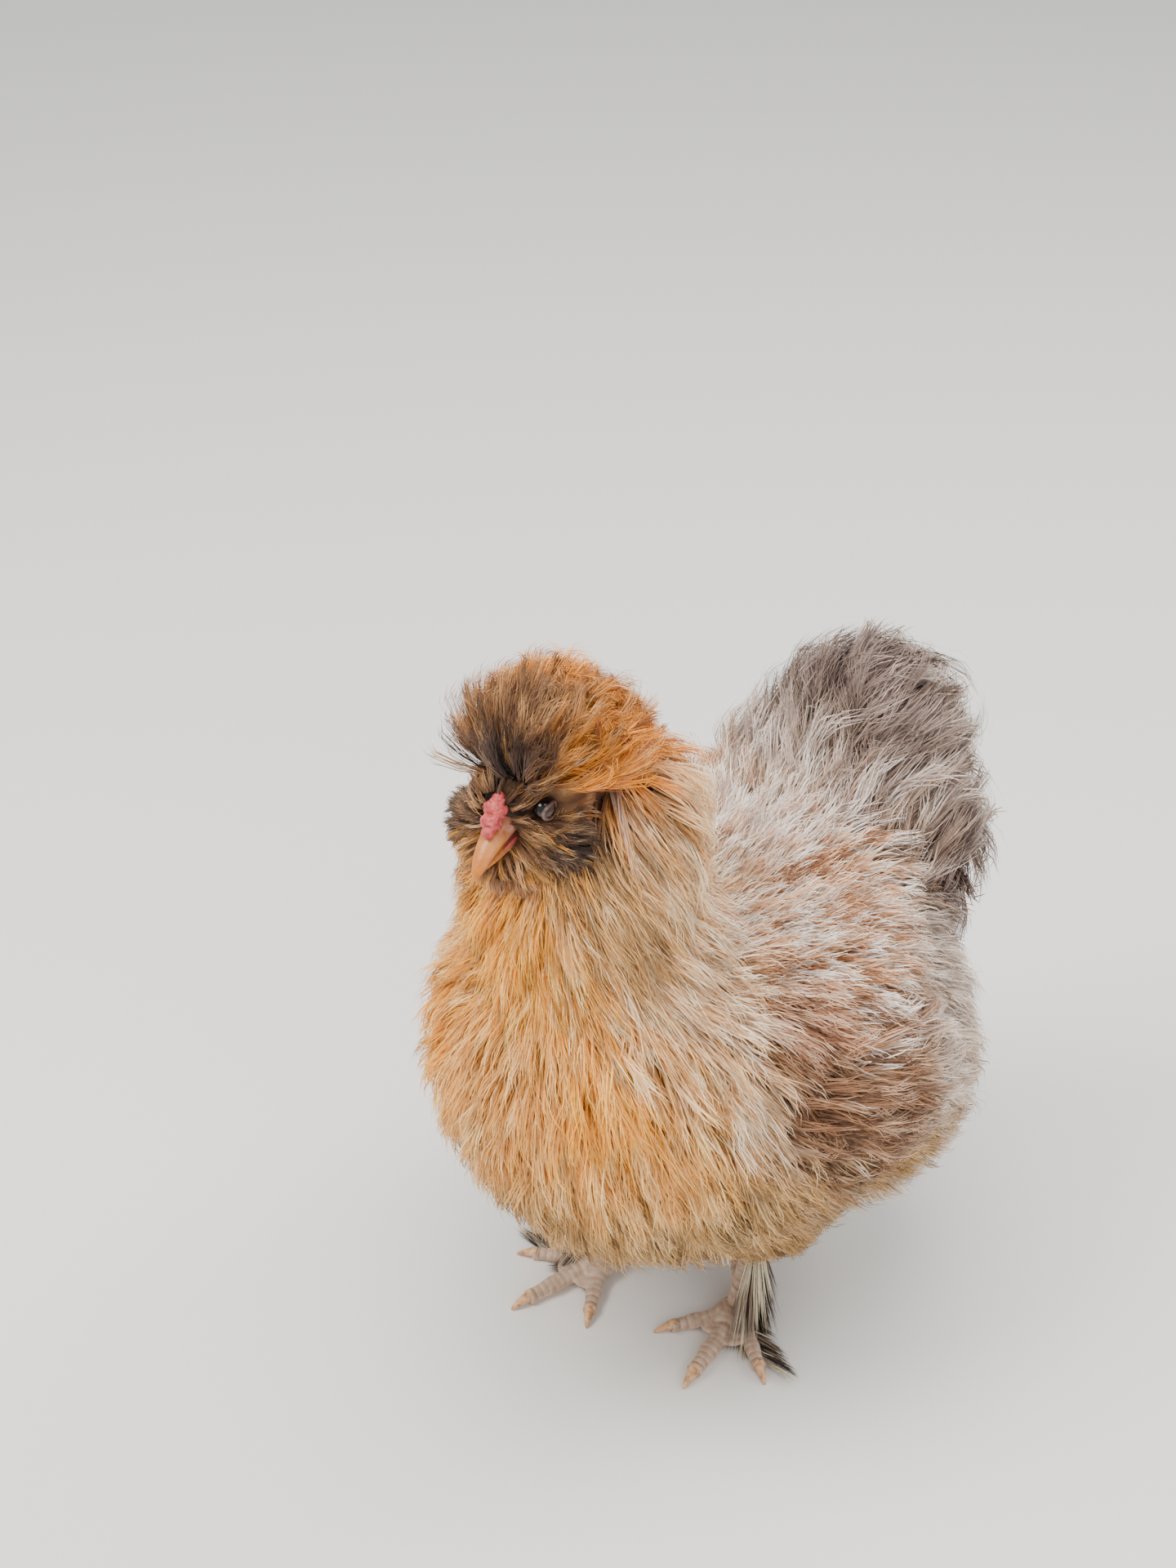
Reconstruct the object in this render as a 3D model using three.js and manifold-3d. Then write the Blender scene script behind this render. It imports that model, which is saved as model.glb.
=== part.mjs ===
// A silkie hen standing alert, life size, in millimetres. +Z is up, the hen faces -Y, and its left side is +X.
// Each node is one closed body: flesh and coat forms, bill, comb, eyes, shanks, toes and claws.
import * as THREE from "three";
import { mergeVertices } from "three/addons/utils/BufferGeometryUtils.js";
import Module from "manifold-3d";

const wasm = await Module();
wasm.setup();

// Driving dimensions, in millimetres, and angles in degrees.
const GAP = 0.45; // how far a node is cut clear of its neighbour, which leaves at least 0.3 after rounding
const FILLET = { body: 14, head: 5 }; // how softly two forms run together
const HEAD_TURN = 14; // the head looks this far to the hen's left
const STANCE = { half: 33.5, back: 7.5, stagger: 9.5 }; // a foot's distance from the midline, and both set-backs
const SHANK = { radius: 5.2, top: 78, lean: 14 };
const SOLE = 5.2; // height of a toe's axis over the floor before its flat is cut
const EYE = { radius: 4.3, forward: 8, side: 13.6, up: 3 };

// The coat of each region: how deep its core lies under the outline, and its locks' number, length, width and
// thickness, how far their tips may stray in and out of the outline, and how soon they rise to it, sooner for a
// smaller number.
const COATS = {
  torso: { core: 17, locks: 58, long: 78, wide: 38, thick: 4.6, stray: 5, rise: 0.6 },
  neck: { core: 14, locks: 30, long: 54, wide: 26, thick: 3.8, stray: 4, rise: 0.5 },
  crest: { core: 12, locks: 36, long: 32, wide: 15, thick: 3.2, stray: 5, rise: 0.35 },
  head: { core: 7, locks: 22, long: 21, wide: 11, thick: 2.8, stray: 2, rise: 0.6 },
  tail: { core: 24, locks: 21, long: 64, wide: 23, thick: 2.8, stray: 6, rise: 0.5 },
  wing: { core: 8, locks: 18, long: 56, wide: 18, thick: 2.6, stray: 4, rise: 0.8 },
  thigh: { core: 11, locks: 10, long: 38, wide: 20, thick: 3.6, stray: 4, rise: 0.7 },
};
const SINK = 4.5; // how far a lock's root goes into the core
const STATIONS = [0, 0.42, 0.8]; // where along a lock its rings are, before the tip
const BREADTHS = [0.72, 1, 0.58]; // its width there, as a share of the full width

// The forms that make up the outline: centre, half sizes, and a nose-down tilt in degrees.
const FORMS = {
  body: { at: [0, 22, 150], half: [98, 112, 97], tilt: 0 },
  breast: { at: [0, -36, 170], half: [86, 76, 88], tilt: 0 },
  rear: { at: [0, 86, 126], half: [86, 65, 82], tilt: 0 },
  cushion: { at: [0, 80, 210], half: [62, 52, 42], tilt: 25 },
  neck: { at: [-3, -46, 248], half: [46, 45, 58], tilt: 0 },
  skull: { at: [-8, -71, 305], half: [17, 25, 20], tilt: 0 },
  nape: { at: [0, -37, 289], half: [36, 34, 36], tilt: 0 },
  crest: { at: [-6, -62, 326], half: [39, 40, 34], tilt: 0 },
  tail: { at: [0, 116, 240], half: [58, 50, 55], tilt: 0 },
};

// The body under the fluff sits well forward over the feet, which is why the deep fluff behind doesn't tip it.
const BODY_CORE = [
  { at: [0, 0, 158], half: [78, 84, 76], tilt: 0 },
  { at: [0, -36, 172], half: [66, 56, 70], tilt: 0 },
  { at: [0, 74, 140], half: [62, 54, 58], tilt: 0 },
  { at: [0, 66, 198], half: [46, 42, 33], tilt: 25 },
];

const vector = (x, y, z) => new THREE.Vector3(x, y, z);
const radians = THREE.MathUtils.degToRad;

// Distance from a point to an ellipsoid's surface, negative inside.
function ellipsoidDistance(point, form) {
  const p = point.clone().sub(vector(...form.at));
  p.applyAxisAngle(vector(1, 0, 0), -radians(form.tilt));
  const [a, b, c] = form.half;
  const scaled = Math.hypot(p.x / a, p.y / b, p.z / c);
  const slope = Math.hypot(p.x / (a * a), p.y / (b * b), p.z / (c * c));
  return slope < 1e-9 ? -Math.min(a, b, c) : (scaled * (scaled - 1)) / slope;
}

// Several forms run together with a fillet.
function blendDistance(point, forms, fillet) {
  return forms
    .map((form) => ellipsoidDistance(point, form))
    .reduce((a, b) => {
      const h = Math.max(fillet - Math.abs(a - b), 0) / fillet;
      return Math.min(a, b) - (h * h * fillet) / 4;
    });
}

// Seeded chance, so that the same hen comes out each time.
let seed = 20731;
function random() {
  seed = (seed * 16807) % 2147483647;
  return seed / 2147483647;
}
const between = (least, most) => least + (most - least) * random();

// A closed solid out of a three.js geometry.
function solidOf(geometry) {
  const bare = geometry.clone();
  bare.deleteAttribute("normal");
  bare.deleteAttribute("uv");
  const merged = mergeVertices(bare, 1e-4);
  return new wasm.Manifold(
    new wasm.Mesh({
      numProp: 3,
      vertProperties: new Float32Array(merged.getAttribute("position").array),
      triVerts: new Uint32Array(merged.index.array),
    }),
  );
}

// A field gives each point its distance from a surface, negative inside.
const blend = (forms, fillet) => (point) => blendDistance(point, forms, fillet);
const inset = (field, depth) => (point) => field(point) + depth;

// Where a ray from inside a field's surface meets it.
function rayHit(origin, ray, field) {
  let near = 0;
  let far = 400;
  for (let step = 0; step < 30; step++) {
    const middle = (near + far) / 2;
    const probe = origin.clone().addScaledVector(ray, middle);
    if (field(probe) < 0) near = middle;
    else far = middle;
  }
  return origin.clone().addScaledVector(ray, near);
}

// The round solid inside a field's surface, seen from a centre.
function roundSolid(centre, field, detail) {
  const geometry = new THREE.IcosahedronGeometry(1, detail);
  const position = geometry.getAttribute("position");
  for (let i = 0; i < position.count; i++) {
    const ray = new THREE.Vector3().fromBufferAttribute(position, i).normalize();
    const hit = rayHit(vector(...centre), ray, field);
    position.setXYZ(i, hit.x, hit.y, hit.z);
  }
  return solidOf(geometry);
}

// A body of rings along a path: each ring has a centre, two half sizes and the directions that they run in.
// A body that only clears room for another is grown, past its ends too.
function ringSolid(rings, sides, grow = 0) {
  const points = [];
  stretch(rings[0].centre, rings[1].centre, grow);
  stretch(rings.at(-1).centre, rings.at(-2).centre, grow);
  rings.forEach(({ centre, across, over, wide, high }) => {
    for (let k = 0; k < sides; k++) {
      const turn = (2 * Math.PI * k) / sides;
      const p = centre.clone();
      p.addScaledVector(across, wide * Math.cos(turn));
      p.addScaledVector(over, high * Math.sin(turn));
      points.push(p.x, p.y, p.z);
    }
  });
  const faces = [];
  const last = (rings.length - 1) * sides;
  for (let k = 1; k < sides - 1; k++) {
    faces.push(0, k + 1, k);
    faces.push(last, last + k, last + k + 1);
  }
  for (let i = 0; i + 1 < rings.length; i++)
    for (let k = 0; k < sides; k++) {
      const a = i * sides + k;
      const b = i * sides + ((k + 1) % sides);
      faces.push(a, b, b + sides, a, b + sides, a + sides);
    }
  const geometry = new THREE.BufferGeometry();
  geometry.setAttribute("position", new THREE.Float32BufferAttribute(points, 3));
  geometry.setIndex(faces);
  const made = solidOf(geometry);
  return made.volume() < 0 ? solidOf(flipped(geometry)) : made;
}

function stretch(end, next, distance) {
  end.addScaledVector(end.clone().sub(next).normalize(), distance);
}

function flipped(geometry) {
  const index = Array.from(geometry.index.array);
  for (let i = 0; i < index.length; i += 3) [index[i], index[i + 1]] = [index[i + 1], index[i]];
  return geometry.clone().setIndex(index);
}

// The largest closed body of a solid.
function largest(solid) {
  return solid
    .simplify(0.01)
    .decompose()
    .reduce((a, b) => (a.volume() > b.volume() ? a : b));
}

// Points that a cut left on one spot are moved apart by less than a hair's width, so that edges stay single.
const HAIR = 0.012;
function loosened(solid) {
  return largest(solid).warp((point) => {
    for (let axis = 0; axis < 3; axis++) point[axis] += HAIR * (random() - 0.5);
  });
}

const joined = (solids) => wasm.Manifold.union(solids);
const cutBy = (solid, cutters) => largest(solid.subtract(joined(cutters)));
const coatCutBy = (solid, cutters) => loosened(solid.subtract(joined(cutters)));

function ball(centre, half, detail) {
  const geometry = new THREE.IcosahedronGeometry(1, detail);
  geometry.scale(...half);
  geometry.translate(...centre);
  return solidOf(geometry);
}

// The head's own frame: forward, left and up from the skull's centre.
const headCentre = vector(...FORMS.skull.at);
const headForward = vector(Math.sin(radians(HEAD_TURN)), -Math.cos(radians(HEAD_TURN)), 0);
const headLeft = vector(Math.cos(radians(HEAD_TURN)), Math.sin(radians(HEAD_TURN)), 0);
const headUp = vector(0, 0, 1);

function onHead(forward, left, up) {
  return headCentre
    .clone()
    .addScaledVector(headForward, forward)
    .addScaledVector(headLeft, left)
    .addScaledVector(headUp, up);
}

// One half of the bill: rings that shrink along a line that hooks down at its end.
const BILL = {
  upper: { back: 13, front: 36, wide: 6.2, high: 6.0, top: -3.5, drop: 11.5, hook: 2.0 },
  lower: { back: 13, front: 31, wide: 5.2, high: 2.6, top: -13.2, drop: 5.4, hook: 0.2 },
};
const BILL_RINGS = 6;

function billHalf(half, grow) {
  const rings = [];
  for (let i = 0; i <= BILL_RINGS; i++) {
    const t = i / BILL_RINGS;
    const taper = Math.sqrt(Math.max(1 - t * t, 0.012));
    const forward = half.back + (half.front - half.back) * t;
    const up = half.top - half.drop * t ** 1.3 - half.hook * t ** 4;
    rings.push({
      centre: onHead(forward, 0, up),
      across: headLeft,
      over: headUp,
      wide: half.wide * taper + grow,
      high: half.high * (0.35 + 0.65 * taper) * (1 - 0.55 * t) + grow,
    });
  }
  return ringSolid(rings, 10, grow);
}

// The walnut comb: bulbs of one cushion over the bill's root.
const COMB_BULBS = [
  [22.5, 1.7, 0.4, 3.1],
  [22.5, -1.7, 0.4, 3.1],
  [18.5, 2.4, 5.2, 3.3],
  [18.5, -2.4, 5.2, 3.3],
  [24.5, 0, -2, 2.6],
];

function comb(grow) {
  return joined(
    COMB_BULBS.map(([forward, left, up, radius]) => {
      const size = radius + grow;
      return ball(onHead(forward, left, up).toArray(), [size, size, size], 1);
    }),
  );
}

const eye = (side, grow) =>
  ball(
    onHead(EYE.forward, side * EYE.side, EYE.up).toArray(),
    [EYE.radius + grow, EYE.radius + grow, EYE.radius + grow],
    2,
  );

// The lid is a ring of skin round the eye.
function lid(side) {
  const geometry = new THREE.TorusGeometry(EYE.radius * 0.86, 1.15, 4, 10);
  geometry.rotateY(Math.PI / 2);
  geometry.rotateZ(radians(HEAD_TURN + side * -8));
  const at = onHead(EYE.forward, side * (EYE.side + 1.9), EYE.up);
  geometry.translate(at.x, at.y, at.z);
  return solidOf(geometry);
}

const LOBE = { forward: -6, side: 18, up: -7, half: [2.6, 4.4, 5.4] };
const earlobe = (side, grow) =>
  ball(
    onHead(LOBE.forward, side * LOBE.side, LOBE.up).toArray(),
    LOBE.half.map((size) => size + grow),
    1,
  );

// A toe: a path on the floor, or raised, with a raised scute over each step of its back.
// The turn is from straight ahead towards the outer side, and the claw takes the last part of the length.
const TOES = {
  inner: { turn: -34, length: 28, radius: 4.3, claw: 10, scutes: 4, lift: 0 },
  middle: { turn: 12, length: 40, radius: 4.9, claw: 11, scutes: 6, lift: 0 },
  outer: { turn: 58, length: 32, radius: 4.2, claw: 10, scutes: 5, lift: 0 },
  hind: { turn: -150, length: 22, radius: 3.7, claw: 9, scutes: 3, lift: 0 },
};

// The silkie's extra toe springs from the inner side of the shank and points up.
const FIFTH = { turn: -132, length: 21, radius: 3.5, claw: 9, scutes: 4, lift: 38, start: 15 };

function footCentre(side) {
  return vector(side * STANCE.half, STANCE.back + side * STANCE.stagger, 0);
}

// Directions of a toe: along it, across it and over its back.
function toeAxes(side, toe) {
  const turn = radians(toe.turn) * side;
  const flat = vector(Math.sin(turn), -Math.cos(turn), 0);
  const lift = radians(toe.lift);
  const along = flat.clone().multiplyScalar(Math.cos(lift)).setZ(Math.sin(lift));
  const across = vector(-flat.y, flat.x, 0);
  return { along, across, over: new THREE.Vector3().crossVectors(along, across).multiplyScalar(-1) };
}

function toePoint(side, toe, distance) {
  const { along } = toeAxes(side, toe);
  const height = toe.start ?? SOLE - (distance / toe.length) * (SOLE - toe.radius * 0.56);
  return footCentre(side).setZ(height).addScaledVector(along, distance);
}

function toeSolid(side, toe, grow) {
  const { across, over } = toeAxes(side, toe);
  const up = over.z < 0 ? over.clone().negate() : over;
  const rings = [];
  const push = (distance, size) => {
    const taper = 1 - 0.32 * (distance / toe.length);
    rings.push({
      centre: toePoint(side, toe, distance),
      across,
      over: up,
      wide: toe.radius * taper * size + grow,
      high: toe.radius * taper * size * 0.95 + grow,
    });
  };
  for (let i = 0; i < toe.scutes; i++) {
    push((toe.length * i) / toe.scutes, 1.06);
    push((toe.length * (i + 0.8)) / toe.scutes, 0.94);
  }
  push(toe.length, 0.8);
  return ringSolid(rings, 6);
}

function clawSolid(side, toe, grow) {
  const { along, across, over } = toeAxes(side, toe);
  const up = over.z < 0 ? over.clone().negate() : over;
  const rings = [];
  for (let i = 0; i <= 4; i++) {
    const t = i / 4;
    const size = toe.radius * 0.6 * Math.sqrt(1 - 0.93 * t);
    const centre = toePoint(side, toe, toe.length - 2);
    centre.addScaledVector(along, toe.claw * t);
    centre.addScaledVector(up, 1.1 * (1 - t) + 1.4 * Math.sin(Math.PI * t * 0.7) - 3.4 * t);
    centre.z = Math.max(centre.z, size * 0.72);
    rings.push({ centre, across, over: up, wide: size + grow, high: size * 0.95 + grow });
  }
  return ringSolid(rings, 5, grow);
}

// The shank leans back from the toes' root to the hock, with a stack of scutes down its front.
function shankColumn(side, grow) {
  const rings = [];
  const scutes = 7;
  const foot = footCentre(side);
  for (let i = 0; i <= scutes; i++) {
    const t = i / scutes;
    const base = foot.clone().add(vector(side * 3 * t, SHANK.lean * t, 8 + (SHANK.top - 8) * t));
    const size = SHANK.radius * (1 + 0.25 * (t - 0.4) ** 2 * 4);
    [
      [0, 0.95],
      [0.8 / scutes, 1.05],
    ].forEach(([step, scale]) => {
      const centre = base.clone();
      centre.z += (SHANK.top - 8) * step;
      rings.push({
        centre,
        across: vector(1, 0, 0),
        over: vector(0, 1, 0),
        wide: size * scale * 0.92 + grow,
        high: size * scale * 1.08 + grow,
      });
    });
  }
  return ringSolid(rings, 8);
}

// A plain sleeve round the shank, which other nodes are cut clear of.
function shankSleeve(side, grow) {
  const foot = footCentre(side);
  const size = SHANK.radius * 1.62 + grow;
  const ring = (t) => ({
    centre: foot.clone().add(vector(side * 3 * t, SHANK.lean * t, 8 - grow + (SHANK.top + grow) * t)),
    across: vector(1, 0, 0),
    over: vector(0, 1, 0),
    wide: size,
    high: size * 1.1,
  });
  return ringSolid([ring(0), ring(1.05)], 8, grow);
}

const shankSolid = (side, grow) =>
  joined([shankColumn(side, grow), toeSolid(side, FIFTH, grow)]);

// A silkie's shanks and outer toes are feathered down their outer sides.
const BOOT = { count: 6, long: 30, wide: 8.5, thick: 1.5, fall: 0.9, floor: 12 };
const TOE_FRINGE = { count: 3, long: 20, wide: 6.5, thick: 1.2, fall: 0.25, floor: 2 };

function bootFeathers(side) {
  const made = [];
  for (let i = 0; i < BOOT.count; i++) {
    const t = 0.1 + (0.3 * i) / BOOT.count;
    const turn = radians(-35 + 22 * i + between(-8, 8));
    const heading = vector(side * Math.cos(turn), Math.sin(turn), -0.15);
    const root = footCentre(side).add(vector(side * 3 * t, SHANK.lean * t, 9 + (SHANK.top - 8) * t));
    made.push(looseFeather(root, heading, { ...BOOT, long: BOOT.long * between(0.75, 1.1) }));
  }
  return joined(made).subtract(joined([pad(side, GAP), toeSolid(side, TOES.outer, GAP)]));
}

function fringeFeathers(side) {
  const made = [];
  for (let i = 0; i < TOE_FRINGE.count; i++) {
    const root = toePoint(side, TOES.outer, 7 + 7.5 * i).setZ(5);
    const turn = radians(TOES.outer.turn + 55 - 14 * i) * side;
    made.push(looseFeather(root, vector(Math.sin(turn), -Math.cos(turn), 0.12), TOE_FRINGE));
  }
  return made;
}

const pad = (side, grow) =>
  ball(
    footCentre(side).add(vector(0, -3, SOLE)).toArray(),
    [9.5 + grow, 11 + grow, SOLE + 1.2 + grow],
    1,
  );

const belowFloor = solidOf(new THREE.BoxGeometry(600, 600, 40).translate(0, 0, -20));

function footSolid(side) {
  const pieces = Object.values(TOES).map((toe) => toeSolid(side, toe, 0));
  return joined([...pieces, pad(side, 0), ...fringeFeathers(side)]);
}

// Side forms: folded wing and feathered thigh.
const wingForm = (side) => ({ at: [side * 82, 30, 152], half: [22, 62, 40], tilt: -14 });
const thighForm = (side) => ({
  at: [side * 37, STANCE.back + side * STANCE.stagger + 12, 78],
  half: [30, 34, 36],
  tilt: 0,
});

// The outward normal of a field at a point.
function normalAt(point, field) {
  const step = 0.5;
  const slopes = [vector(step, 0, 0), vector(0, step, 0), vector(0, 0, step)].map(
    (shift) => field(point.clone().add(shift)) - field(point.clone().sub(shift)),
  );
  return vector(...slopes).normalize();
}

function ontoSurface(point, field) {
  for (let pass = 0; pass < 4; pass++) point.addScaledVector(normalAt(point, field), -field(point));
  return point;
}

// The rings of one lock: from a root sunk in the core, along the lie, out to the outline.
function lockRings({ core, outline, coat, lie }, root) {
  const long = coat.long * between(0.78, 1.12);
  const wide = coat.wide * between(0.8, 1.15);
  const tip = coat.stray * between(-0.7, 1);
  const roll = between(-0.15, 0.15);
  const risen = (t) => Math.min(t / 0.85, 1) ** coat.rise;
  const levelAt = (t) => (p) => (1 - risen(t)) * (core(p) + SINK) + risen(t) * (outline(p) - tip);
  const point = root.clone();
  const rings = [];
  const steps = 12;
  for (let i = 0; i <= steps; i++) {
    const t = i / steps;
    ontoSurface(point, levelAt(t));
    const normal = normalAt(point, outline);
    const along = lie(point).addScaledVector(normal, -lie(point).dot(normal)).normalize();
    rings.push({ t, centre: point.clone(), normal, along });
    point.addScaledVector(along, (long * 0.92) / steps);
  }
  const at = (t) => rings[Math.round(t * steps)];
  return { rings: STATIONS.map(at), end: at(1), wide, thick: coat.thick, roll };
}

// A lock is flat, with a low ridge down its outer side, and tapers to a point.
function lockSolid({ rings, end, wide, thick, roll }) {
  const points = [];
  rings.forEach(({ centre, normal, along }, i) => {
    const across = new THREE.Vector3().crossVectors(normal, along);
    across.applyAxisAngle(along, roll * (i / rings.length));
    const over = new THREE.Vector3().crossVectors(along, across);
    const half = (wide * BREADTHS[i]) / 2;
    const high = thick * (1 - 0.55 * (i / rings.length));
    [
      [-half, -high / 3],
      [half, -high / 3],
      [0, (high * 2) / 3],
    ].forEach(([sideways, outward]) => {
      points.push(centre.clone().addScaledVector(across, sideways).addScaledVector(over, outward));
    });
  });
  points.push(end.centre.clone());
  const faces = [[0, 2, 1]];
  for (let i = 0; i + 1 < rings.length; i++)
    for (let k = 0; k < 3; k++) {
      const a = i * 3 + k;
      const b = i * 3 + ((k + 1) % 3);
      faces.push([a, b, b + 3], [a, b + 3, a + 3]);
    }
  const last = (rings.length - 1) * 3;
  for (let k = 0; k < 3; k++) faces.push([last + k, last + ((k + 1) % 3), last + 3]);
  const geometry = new THREE.BufferGeometry();
  geometry.setFromPoints(points);
  geometry.setIndex(faces.flat());
  const made = solidOf(geometry);
  return made.volume() < 0 ? solidOf(flipped(geometry)) : made;
}

// A loose feather that leaves its root along a heading and sinks as it goes.
function looseFeather(root, heading, { long, wide, thick, fall, floor }) {
  const stations = [...STATIONS, 1].map((t) => {
    const along = heading.clone().normalize();
    along.z -= fall * t;
    along.normalize();
    const centre = root.clone().addScaledVector(heading.clone().normalize(), long * t);
    centre.z = Math.max(centre.z - (fall * long * t * t) / 2, floor);
    const across = new THREE.Vector3().crossVectors(along, vector(0, 0, 1)).normalize();
    return { centre, along, normal: new THREE.Vector3().crossVectors(across, along) };
  });
  const end = stations.pop();
  return lockSolid({ rings: stations, end, wide, thick, roll: between(-0.3, 0.3) });
}

// Roots spread evenly over the directions from a region's middle, kept where the region wants them.
function rootsOf({ core, coat, centre, wants }) {
  const roots = [];
  const golden = Math.PI * (3 - Math.sqrt(5));
  for (let i = 0; i < coat.locks; i++) {
    const up = 1 - (2 * (i + 0.5)) / coat.locks;
    const turn = i * golden + between(-0.12, 0.12);
    const ring = Math.sqrt(1 - up * up);
    const ray = vector(ring * Math.cos(turn), ring * Math.sin(turn), up);
    const point = rayHit(vector(...centre), ray, core);
    if (wants(point)) roots.push(point);
  }
  return roots;
}

// A region's core with its locks joined to it.
function coated(region) {
  const core = roundSolid(region.centre, region.core, region.detail);
  const locks = rootsOf(region)
    .map((root) => lockSolid(lockRings(region, root)))
    .filter((lock) => lock.subtract(lock.hull()).isEmpty());
  return joined([core, ...locks]);
}

// Cones part one node from the next. Each opens the way that the coat lies, so a coat drapes over its neighbour.
const CONES = {
  head: { apex: [-8, -68, 326], axis: [0, 0, -1], angle: 59 },
  neck: { apex: [-8, -62, 293], axis: [0.07, 0.38, -0.92], angle: 60 },
  torso: { apex: [-2, -40, 246], axis: [0, 0.35, -0.94], angle: 62 },
  tail: { apex: [0, 92, 186], axis: [0, 0.5, 0.866], angle: 46 },
};
const thighCone = (side) => ({
  apex: [side * 37, STANCE.back + side * STANCE.stagger + 14, 122],
  axis: [0, 0, -1],
  angle: 32,
});
const CONE_LENGTH = 320;

function coneSolid({ apex, axis, angle }, grow) {
  const slope = Math.tan(radians(angle));
  const geometry = new THREE.ConeGeometry(CONE_LENGTH * slope, CONE_LENGTH, 14);
  geometry.translate(0, -CONE_LENGTH / 2, 0);
  const down = vector(0, -1, 0);
  const direction = vector(...axis).normalize();
  geometry.applyQuaternion(new THREE.Quaternion().setFromUnitVectors(down, direction));
  const tip = vector(...apex).addScaledVector(direction, -grow / Math.sin(radians(angle)));
  geometry.translate(tip.x, tip.y, tip.z);
  return solidOf(geometry);
}

// The cheek muff of one side, in the head's own frame.
const muffForm = (side) => ({
  at: onHead(-4, side * 12, -21).toArray(),
  half: [14, 17, 13],
  tilt: 0,
});
const beardForm = { at: onHead(10, 0, -24).toArray(), half: [13, 13, 11], tilt: 0 };

const SIDES = { left: 1, right: -1 };
const bothSides = (make) => Object.values(SIDES).map(make);
const wingRegion = (side, grow) =>
  ball([side * 104, 40, 146], [33 + grow, 74 + grow, 48 + grow], 1);

// How the coat lies at a point of each region. Each is made tangent to the surface where it is used.
const middleOf = (form) => vector(...form.at);
function torsoLie(point) {
  const back = THREE.MathUtils.clamp((point.y + 60) / 120, 0.1, 1);
  const drop = THREE.MathUtils.clamp((point.y - 95) / 50, 0, 1);
  return vector(point.x * 0.004, back * (1 - 0.6 * drop), -0.75 - 0.4 * drop);
}
function awayFrom(pole, fall) {
  return (point) => {
    const away = point.clone().sub(vector(...pole)).setZ(0).normalize();
    return away.setZ(-fall);
  };
}
// The tail's vanes rise at the front, roll over the top and hang down at the back.
function tailLie(point) {
  const p = point.clone().sub(middleOf(FORMS.tail));
  return vector(p.x * 0.008, p.z + 22, 26 - p.y).normalize();
}

function inCone(point, { apex, axis, angle }) {
  const p = point.clone().sub(vector(...apex));
  return p.angleTo(vector(...axis)) < radians(angle);
}

const headForms = [FORMS.skull, FORMS.nape, ...bothSides(muffForm), beardForm];
const torsoForms = [FORMS.body, FORMS.breast, FORMS.rear, FORMS.cushion];
// A region is its outline, its core, the middle that both are seen from, how fine the core is, and its coat.
function region(name, forms, fillet, centre, detail, lie, wants, coreField) {
  const outline = blend(forms, fillet);
  const coat = COATS[name];
  return { outline, core: coreField ?? inset(outline, coat.core), centre, detail, coat, lie, wants };
}

const REGIONS = {
  crest: region(
    "crest",
    [FORMS.crest],
    FILLET.head,
    FORMS.crest.at,
    1,
    awayFrom([-10, -68, 0], 0.5),
    (point) => !inCone(point, CONES.head),
  ),
  head: region(
    "head",
    headForms,
    FILLET.head,
    headCentre.toArray(),
    3,
    (point) => awayFrom(headCentre.toArray(), 1.6)(point).add(vector(0, 0.5, 0)),
    (point) => inCone(point, CONES.head) && !inCone(point, CONES.neck) && !onFace(point),
  ),
  neck: region(
    "neck",
    [FORMS.neck, FORMS.nape],
    FILLET.body,
    FORMS.neck.at,
    3,
    (point) => vector(point.x * 0.01, 0.3, -1),
    (point) => inCone(point, CONES.neck) && !inCone(point, CONES.torso),
  ),
  torso: region(
    "torso",
    torsoForms,
    FILLET.body,
    [0, 24, 160],
    4,
    torsoLie,
    (point) => !inCone(point, CONES.tail) && !bothSides(thighCone).some((cone) => inCone(point, cone)),
    blend(BODY_CORE, FILLET.body),
  ),
  tail: region("tail", [FORMS.tail], FILLET.body, FORMS.tail.at, 2, tailLie, (point) =>
    inCone(point, CONES.tail),
  ),
};
const wingCoat = (side) =>
  region(
    "wing",
    [wingForm(side)],
    FILLET.body,
    wingForm(side).at,
    2,
    () => vector(0, 1, -0.35),
    (point) => side * point.x > 84 && point.y < 66,
  );
const thighCoat = (side) =>
  region(
    "thigh",
    [thighForm(side)],
    FILLET.body,
    thighForm(side).at,
    1,
    (point) => vector(point.x * 0.002, 0.25, -1),
    (point) => point.z < 92,
  );

// The bare face round the eye, the bill and the earlobe keeps no locks.
function onFace(point) {
  const p = point.clone().sub(headCentre);
  const forward = p.dot(headForward);
  return forward > 12 && p.z > -16;
}

const faceCuts = () => [
  comb(GAP),
  billHalf(BILL.upper, GAP),
  billHalf(BILL.lower, GAP),
  ...bothSides((side) => eye(side, GAP)),
  ...bothSides((side) => earlobe(side, GAP)),
];

const solids = {};
solids.bill_upper = cutBy(billHalf(BILL.upper, 0), [comb(GAP), billHalf(BILL.lower, GAP)]);
solids.bill_lower = largest(billHalf(BILL.lower, 0));
solids.comb = largest(comb(0));
solids.crest = coatCutBy(coated(REGIONS.crest), [coneSolid(CONES.head, GAP), ...faceCuts()]);
solids.head = coatCutBy(joined([coated(REGIONS.head), ...bothSides(lid)]).intersect(coneSolid(CONES.head, 0)), [
  coneSolid(CONES.neck, GAP),
  ...faceCuts(),
]);
solids.neck = coatCutBy(coated(REGIONS.neck).intersect(coneSolid(CONES.neck, 0)), [
  coneSolid(CONES.torso, GAP),
]);
const tailRoot = ball([0, 98, 212], [28, 26, 32], 1);
solids.tail = loosened(joined([coated(REGIONS.tail), tailRoot]).intersect(coneSolid(CONES.tail, 0)));
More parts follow.
